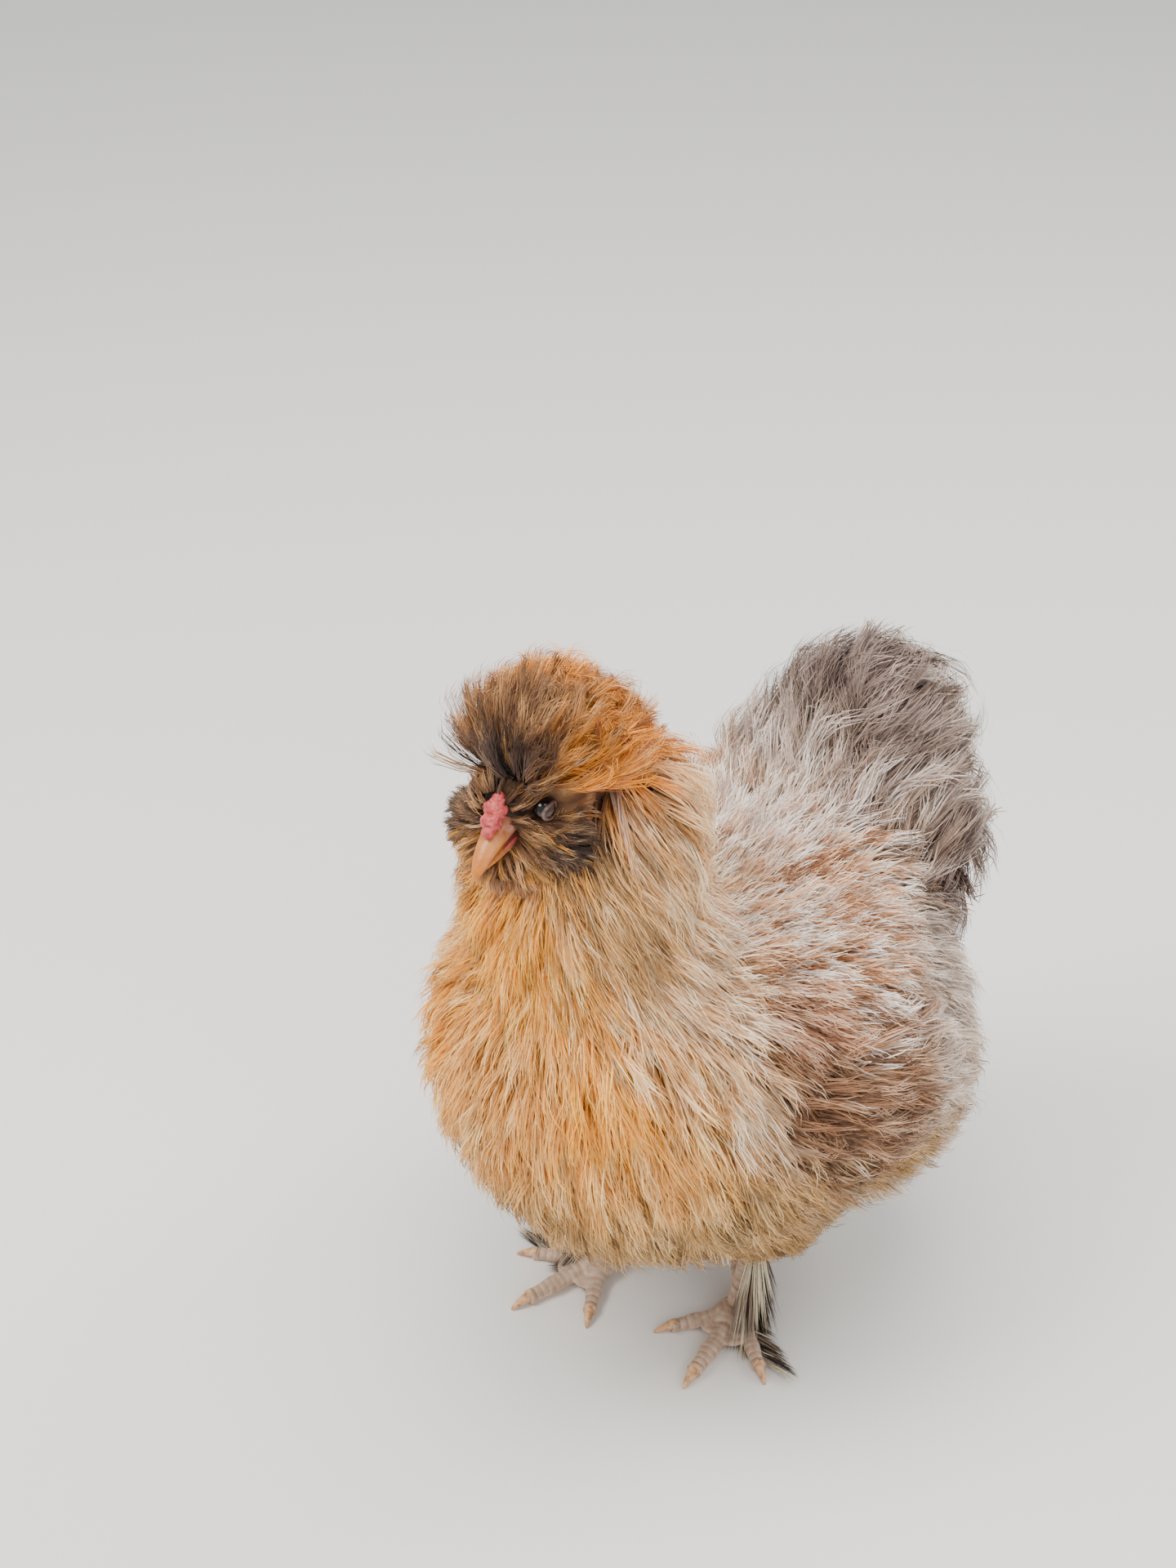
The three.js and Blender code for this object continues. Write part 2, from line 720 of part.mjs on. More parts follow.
solids.torso = coatCutBy(coated(REGIONS.torso).intersect(coneSolid(CONES.torso, 0)), [
  coneSolid(CONES.tail, GAP),
  ...bothSides((side) => wingRegion(side, GAP)),
  ...bothSides((side) => coneSolid(thighCone(side), GAP)),
]);
Object.entries(SIDES).forEach(([name, side]) => {
  solids[`eye_${name}`] = largest(eye(side, 0));
  solids[`earlobe_${name}`] = largest(earlobe(side, 0));
  solids[`wing_${name}`] = loosened(coated(wingCoat(side)).intersect(wingRegion(side, 0)));
  solids[`thigh_${name}`] = coatCutBy(coated(thighCoat(side)).intersect(coneSolid(thighCone(side), 0)), [
    shankSleeve(side, GAP),
  ]);
  solids[`shank_${name}`] = cutBy(joined([shankSolid(side, 0), bootFeathers(side)]), [
    clawSolid(side, FIFTH, GAP),
  ]);
  solids[`claw_fifth_${name}`] = largest(clawSolid(side, FIFTH, 0));
  const claws = Object.values(TOES).map((toe) => clawSolid(side, toe, GAP));
  solids[`foot_${name}`] = cutBy(loosened(footSolid(side)), [
    shankSleeve(side, GAP),
    belowFloor,
    ...claws,
  ]);
  Object.entries(TOES).forEach(([toeName, toe]) => {
    solids[`claw_${toeName}_${name}`] = largest(clawSolid(side, toe, 0).subtract(belowFloor));
  });
});

const COLOURS = {
  coat: 0xb98552,
  tail: 0x8b7766,
  crest: 0xa4673a,
  skin: 0x9c6a58,
  bill: 0xc79269,
  comb: 0xc4606a,
  eye: 0x1c1410,
  earlobe: 0x8e9aa0,
  scale: 0xb89a86,
  claw: 0xd8b573,
};

function colourOf(name) {
  const known = Object.keys(COLOURS).find((key) => name.startsWith(key));
  if (known) return COLOURS[known];
  if (name.startsWith("shank") || name.startsWith("foot")) return COLOURS.scale;
  return name === "head" ? COLOURS.skin : COLOURS.coat;
}

// The origin is on the floor under the middle of the whole bird's box.
const boxes = Object.values(solids).map((solid) => solid.boundingBox());
const low = [0, 1].map((axis) => Math.min(...boxes.map((box) => box.min[axis])));
const high = [0, 1].map((axis) => Math.max(...boxes.map((box) => box.max[axis])));

const hen = new THREE.Group();
hen.position.set(-(low[0] + high[0]) / 2, -(low[1] + high[1]) / 2, 0);
Object.entries(solids).forEach(([name, solid]) => {
  const { vertProperties, triVerts } = solid.getMesh();
  const geometry = new THREE.BufferGeometry();
  geometry.setAttribute("position", new THREE.BufferAttribute(vertProperties, 3));
  geometry.setIndex(new THREE.BufferAttribute(triVerts, 1));
  geometry.computeVertexNormals();
  const shiny = name.startsWith("eye") || name.startsWith("bill") || name.startsWith("claw");
  const finish = new THREE.MeshStandardMaterial({
    color: colourOf(name),
    roughness: shiny ? 0.3 : 0.9,
    metalness: 0,
  });
  const mesh = new THREE.Mesh(geometry, finish);
  mesh.name = name;
  hen.add(mesh);
});

export default hen;
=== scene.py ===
# A silkie hen: fine strands of down over one skin, with the bill, comb, eyes and scaly feet of a living bird.
import math

import bmesh
import bpy
import numpy as np
from mathutils import Matrix, Vector, noise
from mathutils.kdtree import KDTree


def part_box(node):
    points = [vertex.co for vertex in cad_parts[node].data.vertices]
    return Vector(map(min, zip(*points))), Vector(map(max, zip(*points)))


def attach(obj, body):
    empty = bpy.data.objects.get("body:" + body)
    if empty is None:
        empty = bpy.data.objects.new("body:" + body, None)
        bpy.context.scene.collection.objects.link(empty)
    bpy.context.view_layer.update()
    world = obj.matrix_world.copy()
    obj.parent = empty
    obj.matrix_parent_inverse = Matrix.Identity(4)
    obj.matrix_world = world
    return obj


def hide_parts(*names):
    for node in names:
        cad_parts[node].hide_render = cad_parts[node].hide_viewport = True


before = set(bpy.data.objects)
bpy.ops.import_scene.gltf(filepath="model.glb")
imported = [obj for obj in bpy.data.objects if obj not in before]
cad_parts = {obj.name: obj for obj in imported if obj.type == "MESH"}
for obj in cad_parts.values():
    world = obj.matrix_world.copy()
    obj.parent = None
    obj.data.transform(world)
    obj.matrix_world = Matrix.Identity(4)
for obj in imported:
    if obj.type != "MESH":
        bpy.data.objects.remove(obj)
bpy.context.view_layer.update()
scene = bpy.context.scene

# Driving sizes, in millimetres, in the hen's own axes: it faces -Y, its left is +X, and the floor is Z = 0.
MM = 0.001
HEAD_TURN = math.radians(14)
SKULL = np.array([-8.0, -71.0, 305.0])
EYE = {"radius": 4.3, "forward": 8.0, "side": 13.6, "up": 3.0}
STANCE = {"half": 33.5, "back": 7.5, "stagger": 9.5}
SHANK = {"radius": 5.2, "top": 78.0, "lean": 14.0}
SOLE = 5.2

HEAD_FORWARD = np.array([math.sin(HEAD_TURN), -math.cos(HEAD_TURN), 0.0])
HEAD_LEFT = np.array([math.cos(HEAD_TURN), math.sin(HEAD_TURN), 0.0])
UP = np.array([0.0, 0.0, 1.0])
SIDES = (("left", 1), ("right", -1))


def on_head(forward, left, up):
    """A point in the hen's axes, given by how far forward, left and up of the skull's middle it is."""
    return SKULL + HEAD_FORWARD * forward + HEAD_LEFT * left + UP * up


# The frame's eye tells where the hen's own axes lie in the frame.
eye_low, eye_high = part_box("eye_left")
eye_middle = np.array((eye_low + eye_high) / 2) / MM
SHIFT = eye_middle - on_head(EYE["forward"], EYE["side"], EYE["up"])


def placed(points):
    """Points in the hen's axes, in millimetres, as metres in the frame."""
    return (np.asarray(points, float) + SHIFT) * MM


# The forms that make up the outline of the coat: middle, half sizes, and a nose-down tilt in degrees.
def form(at, half, tilt=0.0):
    return {"at": np.array(at, float), "half": np.array(half, float), "tilt": math.radians(tilt)}


BODY = form((0, 24, 150), (96, 112, 96))
BREAST = form((0, -32, 170), (80, 71, 87))
REAR = form((0, 86, 115), (90, 65, 86))
RUMP = form((0, 116, 178), (60, 40, 44))
CUSHION = form((0, 80, 210), (62, 52, 42), 25)
NECK = form((-3, -46, 248), (47, 46, 58))
NAPE = form((0, -33, 286), (42, 37, 38))
CREST = form((-6, -61, 319), (42, 39, 31))
TAIL = form((0, 112, 222), (57, 46, 42))
TAIL_TOP = form((3, 126, 250), (38, 38, 44))


def covert(side):
    return form((side * 30, 128, 204), (32, 30, 40))


HEAD_BALL = form(SKULL, (17, 25, 20))
BEARD = form(on_head(10, 0, -24), (13, 13, 11))
FILLET = {"body": 14.0, "head": 6.0}


def muff(side):
    return form(on_head(-4, side * 15, -19), (19, 20, 17))


def wing(side):
    return form((side * 80, 30, 152), (24, 64, 42), -14)


def thigh(side):
    return form((side * 37, STANCE["back"] + side * STANCE["stagger"] + 12, 80), (30, 34, 38))


def ellipsoid_distance(points, shape):
    """How far points are outside one form, in millimetres, negative inside."""
    p = points - shape["at"]
    c, s = math.cos(shape["tilt"]), math.sin(shape["tilt"])
    p = np.stack([p[:, 0], c * p[:, 1] + s * p[:, 2], -s * p[:, 1] + c * p[:, 2]], axis=1)
    scaled = np.linalg.norm(p / shape["half"], axis=1)
    slope = np.linalg.norm(p / shape["half"] ** 2, axis=1)
    return scaled * (scaled - 1) / np.maximum(slope, 1e-6)


def blend(shapes, fillet):
    """One field for several forms run together with a fillet."""

    def field(points):
        total = ellipsoid_distance(points, shapes[0])
        for shape in shapes[1:]:
            other = ellipsoid_distance(points, shape)
            h = np.maximum(fillet - np.abs(total - other), 0) / fillet
            total = np.minimum(total, other) - h * h * fillet / 4
        return total

    return field


def slope_of(field, points, step=0.6):
    """The outward direction of a field at points."""
    slopes = np.zeros_like(points)
    for axis in range(3):
        shift = np.zeros(3)
        shift[axis] = step
        slopes[:, axis] = field(points + shift) - field(points - shift)
    return slopes / np.maximum(np.linalg.norm(slopes, axis=1, keepdims=True), 1e-9)


def unit(vectors):
    return vectors / np.maximum(np.linalg.norm(vectors, axis=-1, keepdims=True), 1e-9)


def smoothstep(low, high, value):
    t = np.clip((value - low) / (high - low), 0, 1)
    return t * t * (3 - 2 * t)


# Colours are sRGB hex values, and one function turns them to linear.
def linear(hex_colour):
    channels = [int(hex_colour[i : i + 2], 16) / 255 for i in (1, 3, 5)]
    return np.array([c / 12.92 if c <= 0.04045 else ((c + 0.055) / 1.055) ** 2.4 for c in channels])


def richer(colour):
    """A colour drawn away from its own grey, for down scatters light and so looks paler than its pigment."""
    grey = colour.mean()
    return np.clip(grey + (colour - grey) * RICHNESS, 0.002, 1)


def patch(at, reach, tones, pale=0.2, dark=0.15):
    shown = [richer(linear(tone)) for tone in tones]
    return {"at": np.array(at, float), "reach": reach, "tones": shown, "pale": pale, "dark": dark}


# The coat's palettes: the tone of most strands, of pale ones and of dark ones.
RICHNESS = 1.35
LEAN = 0.55
GOLD = ("#efb06e", "#f7cf9a", "#bd7c46")
BUFF = ("#e0ae7a", "#f0cfa2", "#a5734a")
FLECKED = ("#d0a67c", "#ebcfaa", "#6e523e")
HONEY = ("#e4c09a", "#f4e0c4", "#b0845c")
CREAM = ("#dfbf9f", "#f6e4d0", "#a8805f")
SILVER = ("#d6bdab", "#f7ece4", "#947a6a")
TAWNY = ("#bd937a", "#e6cbb6", "#80594a")
MOTTLED = ("#dfb89a", "#fdf4ec", "#8c634c")
STREAKED = ("#b3a49a", "#f6f0ea", "#66564c")
RUST = ("#8a6650", "#c2a48c", "#543a2c")
SMOKE = ("#7e6d65", "#bcaaa0", "#463a35")
PALE = ("#c6b4a6", "#e8ddd4", "#a08c7c")
OLIVE = ("#a68662", "#cfb08a", "#6f563c")
EMBER = ("#dc965c", "#edbe90", "#82503a")
UMBER = ("#80604a", "#b48e6c", "#4a3429")
SOOT = ("#4a3933", "#84705f", "#291f1b")

# Markings of the coat. Each patch has a place, a reach in millimetres, a palette, and the shares of pale and
# dark strands. Where patches overlap, their tones mix by nearness.
SIDED_PATCHES = [
    patch((86, -2, 168), 24, RUST, 0.2, 0.35),
    patch((86, 44, 152), 32, RUST, 0.25, 0.3),
    patch((84, -30, 172), 18, CREAM, 0.45, 0.2),
    patch((44, -80, 180), 30, GOLD, 0.3, 0.15),
    patch((60, -62, 150), 32, BUFF, 0.3, 0.2),
    patch((58, -56, 200), 20, HONEY, 0.3, 0.2),
    patch((60, -34, 222), 26, CREAM, 0.4, 0.15),
    patch((78, 8, 206), 22, TAWNY, 0.35, 0.25),
    patch((60, 22, 226), 26, MOTTLED, 0.4, 0.28),
    patch((74, 36, 204), 26, MOTTLED, 0.4, 0.3),
    patch((44, 54, 236), 24, MOTTLED, 0.35, 0.3),
    patch((90, 84, 140), 36, PALE, 0.4, 0.1),
    patch((84, 66, 108), 34, OLIVE, 0.3, 0.2),
    patch((50, 110, 80), 46, PALE, 0.3, 0.1),
    patch((60, -40, 110), 38, OLIVE, 0.25, 0.25),
    patch((35, 20, 60), 40, OLIVE, 0.2, 0.3),
    patch((40, 134, 200), 26, SMOKE, 0.25, 0.4),
    patch((34, -60, 262), 18, FLECKED, 0.25, 0.2),
    patch((44, -48, 236), 18, FLECKED, 0.3, 0.2),
    patch((36, -30, 270), 20, HONEY, 0.35, 0.15),
    patch((30, -20, 292), 18, HONEY, 0.3, 0.15),
    patch((26, -56, 334), 18, EMBER, 0.2, 0.25),
    patch((26, -36, 312), 18, EMBER, 0.3, 0.15),
    patch((20, -90, 332), 14, UMBER, 0.2, 0.5),
    patch(on_head(-20, 30, -4), 8, STREAKED, 0.5, 0.2),
    patch(on_head(0, 26, -20), 9, SOOT, 0.1, 0.4),
]
MIDDLE_PATCHES = [
    patch((0, -100, 190), 44, BUFF, 0.3, 0.15),
    patch((0, -90, 226), 30, GOLD, 0.2, 0.12),
    patch((-6, -84, 258), 22, GOLD, 0.15, 0.12),
    patch((0, -74, 110), 44, OLIVE, 0.35, 0.2),
    patch((0, -96, 140), 34, BUFF, 0.25, 0.2),
    patch((0, 2, 240), 34, CREAM, 0.5, 0.1),
    patch((0, 26, 244), 30, MOTTLED, 0.4, 0.28),
    patch((0, 56, 246), 34, SILVER, 0.5, 0.15),
    patch((0, 84, 244), 26, PALE, 0.4, 0.2),
    patch((0, 110, 244), 34, SMOKE, 0.35, 0.2),
    patch((0, 122, 290), 34, SMOKE, 0.15, 0.35),
    patch((0, 168, 250), 30, PALE, 0.3, 0.3),
    patch((0, 150, 150), 44, PALE, 0.35, 0.2),
    patch((-8, -68, 354), 26, UMBER, 0.4, 0.25),
    patch((-8, -46, 346), 20, EMBER, 0.3, 0.2),
    patch((-3, -94, 340), 24, SOOT, 0.15, 0.4),
    patch((-28, -90, 326), 19, UMBER, 0.35, 0.3),
    patch((0, -14, 306), 20, EMBER, 0.35, 0.15),
    patch(on_head(14, 5, -29), 8, SOOT, 0.3, 0.2),
    patch(on_head(16, 0, -20), 12, UMBER, 0.2, 0.4),
    patch(on_head(4, 24, -14), 12, SOOT, 0.3, 0.3),
    patch(on_head(4, -24, -14), 12, SOOT, 0.3, 0.3),
    patch(on_head(14, 16, 4), 12, UMBER, 0.3, 0.4),
    patch(on_head(14, -16, 4), 12, UMBER, 0.3, 0.4),
    patch(on_head(12, 0, -36), 14, TAWNY, 0.2, 0.2),
]


def mirrored(spot):
    return {**spot, "at": spot["at"] * np.array([-1, 1, 1])}


PATCHES = [*MIDDLE_PATCHES, *SIDED_PATCHES, *[mirrored(spot) for spot in SIDED_PATCHES]]


def markings(points, chance, pick=None):
    """The coat's linear colour at points. Chance, from 0 to 1, picks among a patch's tones, and pick leans
    the colour to one patch, so that locks of several patches lie mixed where patches meet."""
    near_ones = []
    tones = []
    for spot in PATCHES:
        away = np.linalg.norm(points - spot["at"], axis=1) / spot["reach"]
        near_ones.append(1 / (0.15 + away**2) ** 2.4)
        main, pale, dark = spot["tones"]
        is_pale = smoothstep(1 - spot["pale"] - 0.05, 1 - spot["pale"] + 0.05, chance)[:, None]
        is_dark = 1 - smoothstep(spot["dark"] - 0.05, spot["dark"] + 0.05, chance)[:, None]
        tone = main + (pale - main) * is_pale
        tones.append(tone + (dark - tone) * is_dark)
    near_ones = np.array(near_ones)
    tones = np.array(tones)
    colour = (near_ones[:, :, None] * tones).sum(axis=0) / near_ones.sum(axis=0)[:, None]
    if pick is None:
        return colour
    reached = np.cumsum(near_ones, axis=0) / near_ones.sum(axis=0)
    chosen = np.minimum((reached < pick).sum(axis=0), len(PATCHES) - 1)
    return colour * (1 - LEAN) + tones[chosen, np.arange(len(points))] * LEAN


# One small function adds a node with its settings and links.
def node(tree, kind, links=None, **settings):
    made = tree.nodes.new(kind)
    for key, value in settings.items():
        if key in made.inputs:
            made.inputs[key].default_value = value
        else:
            setattr(made, key, value)
    for socket, source in (links or {}).items():
        tree.links.new(source, made.inputs[socket])
    return made


def surface(name, colour, grain=None, **values):
    """A material. A function of its node tree gives its base colour, its grain is the size, detail and
    roughness of its bumps and then their depth, in millimetres, and the values are the shader's own."""
    material = bpy.data.materials.new(name)
    material.use_nodes = True
    tree = material.node_tree
    shader = tree.nodes["Principled BSDF"]
    for key, value in values.items():
        shader.inputs[key.replace("_", " ")].default_value = value
    if colour:
        tree.links.new(colour(tree), shader.inputs["Base Color"])
    if grain:
        height = millimetre_noise(tree, *grain[:-1])
        bump = node(tree, "ShaderNodeBump", {"Height": height}, Strength=1.0, Distance=grain[-1] * MM)
        tree.links.new(bump.outputs["Normal"], shader.inputs["Normal"])
    return material


def rgba(hex_colour):
    return (*linear(hex_colour), 1.0)


def ramp(tree, factor, stops):
    """A colour ramp over a factor, from (place, hex colour) pairs."""
    made = node(tree, "ShaderNodeValToRGB", {"Fac": factor})
    elements = made.color_ramp.elements
    while len(elements) < len(stops):
        elements.new(0.5)
    for element, (place, colour) in zip(elements, stops):
        element.position = place
        element.color = rgba(colour)
    return made.outputs["Color"]


def millimetre_noise(tree, size, detail=3.0, roughness=0.55):
    """Noise with features of about one size, in millimetres, in the object's own space."""
    where = node(tree, "ShaderNodeTexCoord").outputs["Object"]
    kind = {"Scale": 1 / (size * MM), "Detail": detail, "Roughness": roughness}
    return node(tree, "ShaderNodeTexNoise", {"Vector": where}, **kind).outputs["Fac"]


def clouded(size, detail, stops):
    """What gives a colour that clouds from one stop to the next over some millimetres."""
    return lambda tree: ramp(tree, millimetre_noise(tree, size, detail), stops)


def painted(tree, layer):
    """The colour stored at the piece's points in one layer."""
    return node(tree, "ShaderNodeVertexColor", layer_name=layer).outputs["Color"]


# A mix node has sockets of one name for each kind of value, and these are the colour's.
MIX_FIRST, MIX_SECOND, MIX_RESULT = 6, 7, 2


def mixed(tree, kind, factor, first, second):
    """Two colours mixed by a factor, where each of the three is a socket or a value."""
    made = node(tree, "ShaderNodeMix", data_type="RGBA", blend_type=kind)
    for socket, source in (("Factor", factor), (MIX_FIRST, first), (MIX_SECOND, second)):
        if isinstance(source, bpy.types.NodeSocket):
            tree.links.new(source, made.inputs[socket])
        else:
            made.inputs[socket].default_value = source
    return made.outputs[MIX_RESULT]


def down_material(name):
    """Down feather: barbs without hooks, so it parts into hair-like strands that look soft and silky."""

    def colour(tree):
        reach = {"From Min": 0.3, "From Max": 0.7, "To Min": 0.86, "To Max": 1.12}
        streak = node(tree, "ShaderNodeMapRange", {"Value": millimetre_noise(tree, 1.6, 2.0)}, **reach)
        return mixed(tree, "MULTIPLY", 1.0, painted(tree, "MarkingsAndShade"), streak.outputs["Result"])

    bloom = {"Sheen_Weight": 0.06, "Sheen_Roughness": 0.4}
    return surface(name, colour, Roughness=0.62, Specular_IOR_Level=0.3, **bloom)


def comb_material():
    """Comb skin: thin, moist and full of blood, so it is pink-red with a soft gloss and fine warts."""
    blush = clouded(3.0, 4.0, [(0.3, "#9c2f30"), (0.55, "#c8504c"), (0.8, "#dc8074")])
    depth = {"Subsurface_Weight": 0.25, "Subsurface_Scale": 0.002, "Subsurface_Radius": (1.0, 0.3, 0.2)}
    return surface("comb_skin_moist", blush, (0.7, 4.0, 0.35), Roughness=0.42, **depth)


def lobe_material():
    """Earlobe skin: smooth and bluish, of the silkie's dark skin seen through a pale layer."""
    tone = clouded(2.5, 3.0, [(0.3, "#7f959c"), (0.7, "#b8c4c4")])
    depth = {"Subsurface_Weight": 0.15, "Subsurface_Scale": 0.0015}
    return surface("earlobe_skin_smooth", tone, (0.9, 3.0, 0.25), Roughness=0.45, **depth)


def bill_material():
    """Bill horn: keratin, smooth and slightly clear, pink-brown at the root and amber at the worn tip."""

    def colour(tree):
        stops = [(0.0, "#b06a5c"), (0.3, "#c07c60"), (0.55, "#c97f3c"), (1.0, "#cc7a18")]
        cloud = clouded(2.2, 4.0, [(0.3, "#d8c4b0"), (0.7, "#ffffff")])
        return mixed(tree, "MULTIPLY", 0.8, ramp(tree, painted(tree, "Along"), stops), cloud(tree))

    depth = {"Subsurface_Weight": 0.12, "Subsurface_Scale": 0.001}
    return surface("bill_horn_keratin", colour, (0.8, 3.0, 0.08), Roughness=0.34, IOR=1.54, **depth)


def claw_material():
    """Claw horn: keratin with a dull gloss, cream with brown stain and lengthwise wear."""
    tone = clouded(2.4, 4.0, [(0.3, "#8d6444"), (0.5, "#d09c6c"), (0.8, "#e6c496")])
    return surface("claw_horn_keratin", tone, (0.5, 3.0, 0.08), Roughness=0.4, IOR=1.54)


def scale_material():
    """Leg skin: horny scutes over soft skin, pinkish beige, with painted shade darkening the creases between
    them.
    """

    def colour(tree):
        cloud = clouded(4.0, 5.0, [(0.25, "#a68a72"), (0.5, "#cfae92"), (0.75, "#e2c8b0")])
        # The creases' darker colour is painted shade.
        return mixed(tree, "MIX", painted(tree, "CreaseShade"), cloud(tree), rgba("#6f5646"))

    depth = {"Subsurface_Weight": 0.1, "Subsurface_Scale": 0.0015}
    return surface("leg_skin_scutes", colour, (0.6, 5.0, 0.65, 0.18), Roughness=0.58, **depth)


def iris_material():
    """Eye: a wet, clear cornea over a brown-black iris, so it shows as dark with a small bright glint."""
    stops = [(0.0, "#0a0706"), (0.36, "#0a0706"), (0.44, "#4a2a14"), (0.8, "#2a170c"), (1.0, "#120b08")]
    wet = {"Roughness": 0.12, "IOR": 1.376, "Coat_Weight": 0.4, "Coat_Roughness": 0.03}
    return surface("eye_wet_cornea", lambda tree: ramp(tree, painted(tree, "Iris"), stops), **wet)


def lid_material():
    """Eyelid skin: bare, dark and finely wrinkled."""
    tone = clouded(1.5, 3.0, [(0.3, "#4c3a36"), (0.7, "#80625a")])
    return surface("eyelid_skin_dark", tone, (0.5, 3.0, 0.15), Roughness=0.5)


def skin_material():
    """Feathered skin: between strands it shows as the down's shadowed base, in the coat's own markings
    darkened as painted shade.
    """
    return surface("feathered_skin", lambda tree: painted(tree, "MarkingsAndShade"), (1.2, 4.0, 0.6), Roughness=0.85)


# Pieces, and what shapes them.
def linked(name, data):
    """An object with some data, put into the scene."""
    made = bpy.data.objects.new(name, data)
    scene.collection.objects.link(made)
    return made


def mesh_object(name, points, faces, material):
    """A piece out of points in the hen's axes, in millimetres."""
    mesh = bpy.data.meshes.new(name)
    mesh.from_pydata([tuple(p) for p in placed(points)], [], faces)
    mesh.validate()
    mesh.materials.append(material)
    made = linked(name, mesh)
    smooth(made)
    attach(made, "root")
    return made


def add_balls(mesh, balls):
    """Adds ellipsoids to a mesh, each given by its middle and half sizes in the mesh's own units."""
    blob = bmesh.new()
    blob.from_mesh(mesh)
    for at, half in balls:
        place = Matrix.Translation(at) @ Matrix.Diagonal((*half, 1))
        bmesh.ops.create_icosphere(blob, subdivisions=4, radius=1, matrix=place)
    blob.to_mesh(mesh)
    blob.free()


def ball_cluster(name, balls):
    """An unfinished piece of overlapping ellipsoids, in millimetres in the hen's axes."""
    mesh = bpy.data.meshes.new(name)
    add_balls(mesh, balls)
    made = linked(name, mesh)
    set_points(made, raw_points(made))
    return made


def smooth(obj):
    """Shades a piece as one rounded surface."""
    obj.data.polygons.foreach_set("use_smooth", [True] * len(obj.data.polygons))


def applied(obj, kind, **settings):
    """Adds one modifier and applies it."""
    modifier = obj.modifiers.new(kind.title(), kind)
    for key, value in settings.items():
        setattr(modifier, key, value)
    depsgraph = bpy.context.evaluated_depsgraph_get()
    made = bpy.data.meshes.new_from_object(obj.evaluated_get(depsgraph))
    obj.modifiers.clear()
    old = obj.data
    obj.data = made
    bpy.data.meshes.remove(old)
    smooth(obj)


def raw_points(obj):
    """A mesh's own numbers."""
    flat = np.zeros(len(obj.data.vertices) * 3, np.float32)
    obj.data.vertices.foreach_get("co", flat)
    return flat.reshape(-1, 3).astype(float)


def mesh_points(obj):
    """A piece's points in the hen's axes, in millimetres."""
    return raw_points(obj) / MM - SHIFT


def set_points(obj, points):
    obj.data.vertices.foreach_set("co", placed(points).astype(np.float32).ravel())
    obj.data.update()


def paint(obj, layer, values):
    """Stores a grey value or a linear colour at every point."""
    values = np.asarray(values, float)
    if values.ndim == 1:
        values = np.repeat(values[:, None], 3, axis=1)
    full = np.ones((len(values), 4), np.float32)
    full[:, :3] = values
    attribute = obj.data.color_attributes.new(layer, "FLOAT_COLOR", "POINT")
    attribute.data.foreach_set("color", full.ravel())


def loft_faces(rings, sides):
    """Faces of a closed tube of rings, with a flat face at each end."""
    faces = [tuple(reversed(range(sides)))]
    for i in range(rings - 1):
        for k in range(sides):
            a, b = i * sides + k, i * sides + (k + 1) % sides
            faces.append((a, b, b + sides, a + sides))
    faces.append(tuple(range((rings - 1) * sides, rings * sides)))
    return faces


def lofted(name, rings, sides, ring, material):
    """A closed tube, of which a function gives each ring from how far along it is."""
    points = np.concatenate([ring(i / (rings - 1)) for i in range(rings)])
    return mesh_object(name, points, loft_faces(rings, sides), material)


def ring_points(centre, across, over, wide, high, sides, lift=None):
    turns = np.arange(sides) * 2 * math.pi / sides
    x, y = np.cos(turns) * wide, np.sin(turns) * high
    if lift is not None:
        scale = lift(turns)
        x, y = x * scale, y * scale
    return centre + np.outer(x, across) + np.outer(y, over)


def skin_unwrap(points):
    """The unwrap of the skin: each point's place along the hen, and its turn round the hen's length."""
    x, y, z = points.T
    along = np.clip((y + 120) / 300, 0, 1)
    turn = (np.arctan2(x, z - 150 - smoothstep(0, -60, y) * 60) / (2 * math.pi)) + 0.5
    return np.stack([0.02 + 0.94 * along, 0.02 + 0.94 * turn], axis=1)


# The skin is one closed form, and lies so many millimetres deep under each part of the coat's outline.
SKIN_DEPTH = {"coat": 17.0, "crown": 22.0, "head": 6.5, "legs": 12.0, "wings": 12.0}
FLESH = [form((0, 0, 158), (78, 84, 76)), form((0, -36, 172), (66, 56, 70)), form((0, 68, 150), (62, 50, 54))]
# The skin starts as balls: the forms at a share of their size, and two bridges, to the head and to the tail.
CORE_SHARE = 0.8
BRIDGES = [((-6, -60, 288), (20, 22, 60)), ((0, 96, 200), (28, 26, 50))]
FIRST_VOXEL, LAST_VOXEL = 2.6, 2.4
DRAW = {"times": 12, "reach": 6.0, "share": 0.7}


def nearest_of(points, *shapes):
    """How far points are outside the nearest of several forms."""
    return np.minimum.reduce([ellipsoid_distance(points, shape) for shape in shapes])


def skin_field(points):
    """How far points are outside the skin."""
    coat = [NECK, TAIL, TAIL_TOP, covert(1), covert(-1), BODY, BREAST, REAR, CUSHION]
    head = [HEAD_BALL, BEARD, muff(1), muff(-1)]
    fields = [
        blend(FLESH, FILLET["body"])(points),
        blend(coat, FILLET["body"])(points) + SKIN_DEPTH["coat"],
        blend(head, FILLET["head"])(points) + SKIN_DEPTH["head"],
        nearest_of(points, CREST, NAPE) + SKIN_DEPTH["crown"],
        nearest_of(points, thigh(1), thigh(-1)) + SKIN_DEPTH["legs"],
        nearest_of(points, wing(1), wing(-1)) + SKIN_DEPTH["wings"],
    ]
    return np.minimum.reduce(fields)


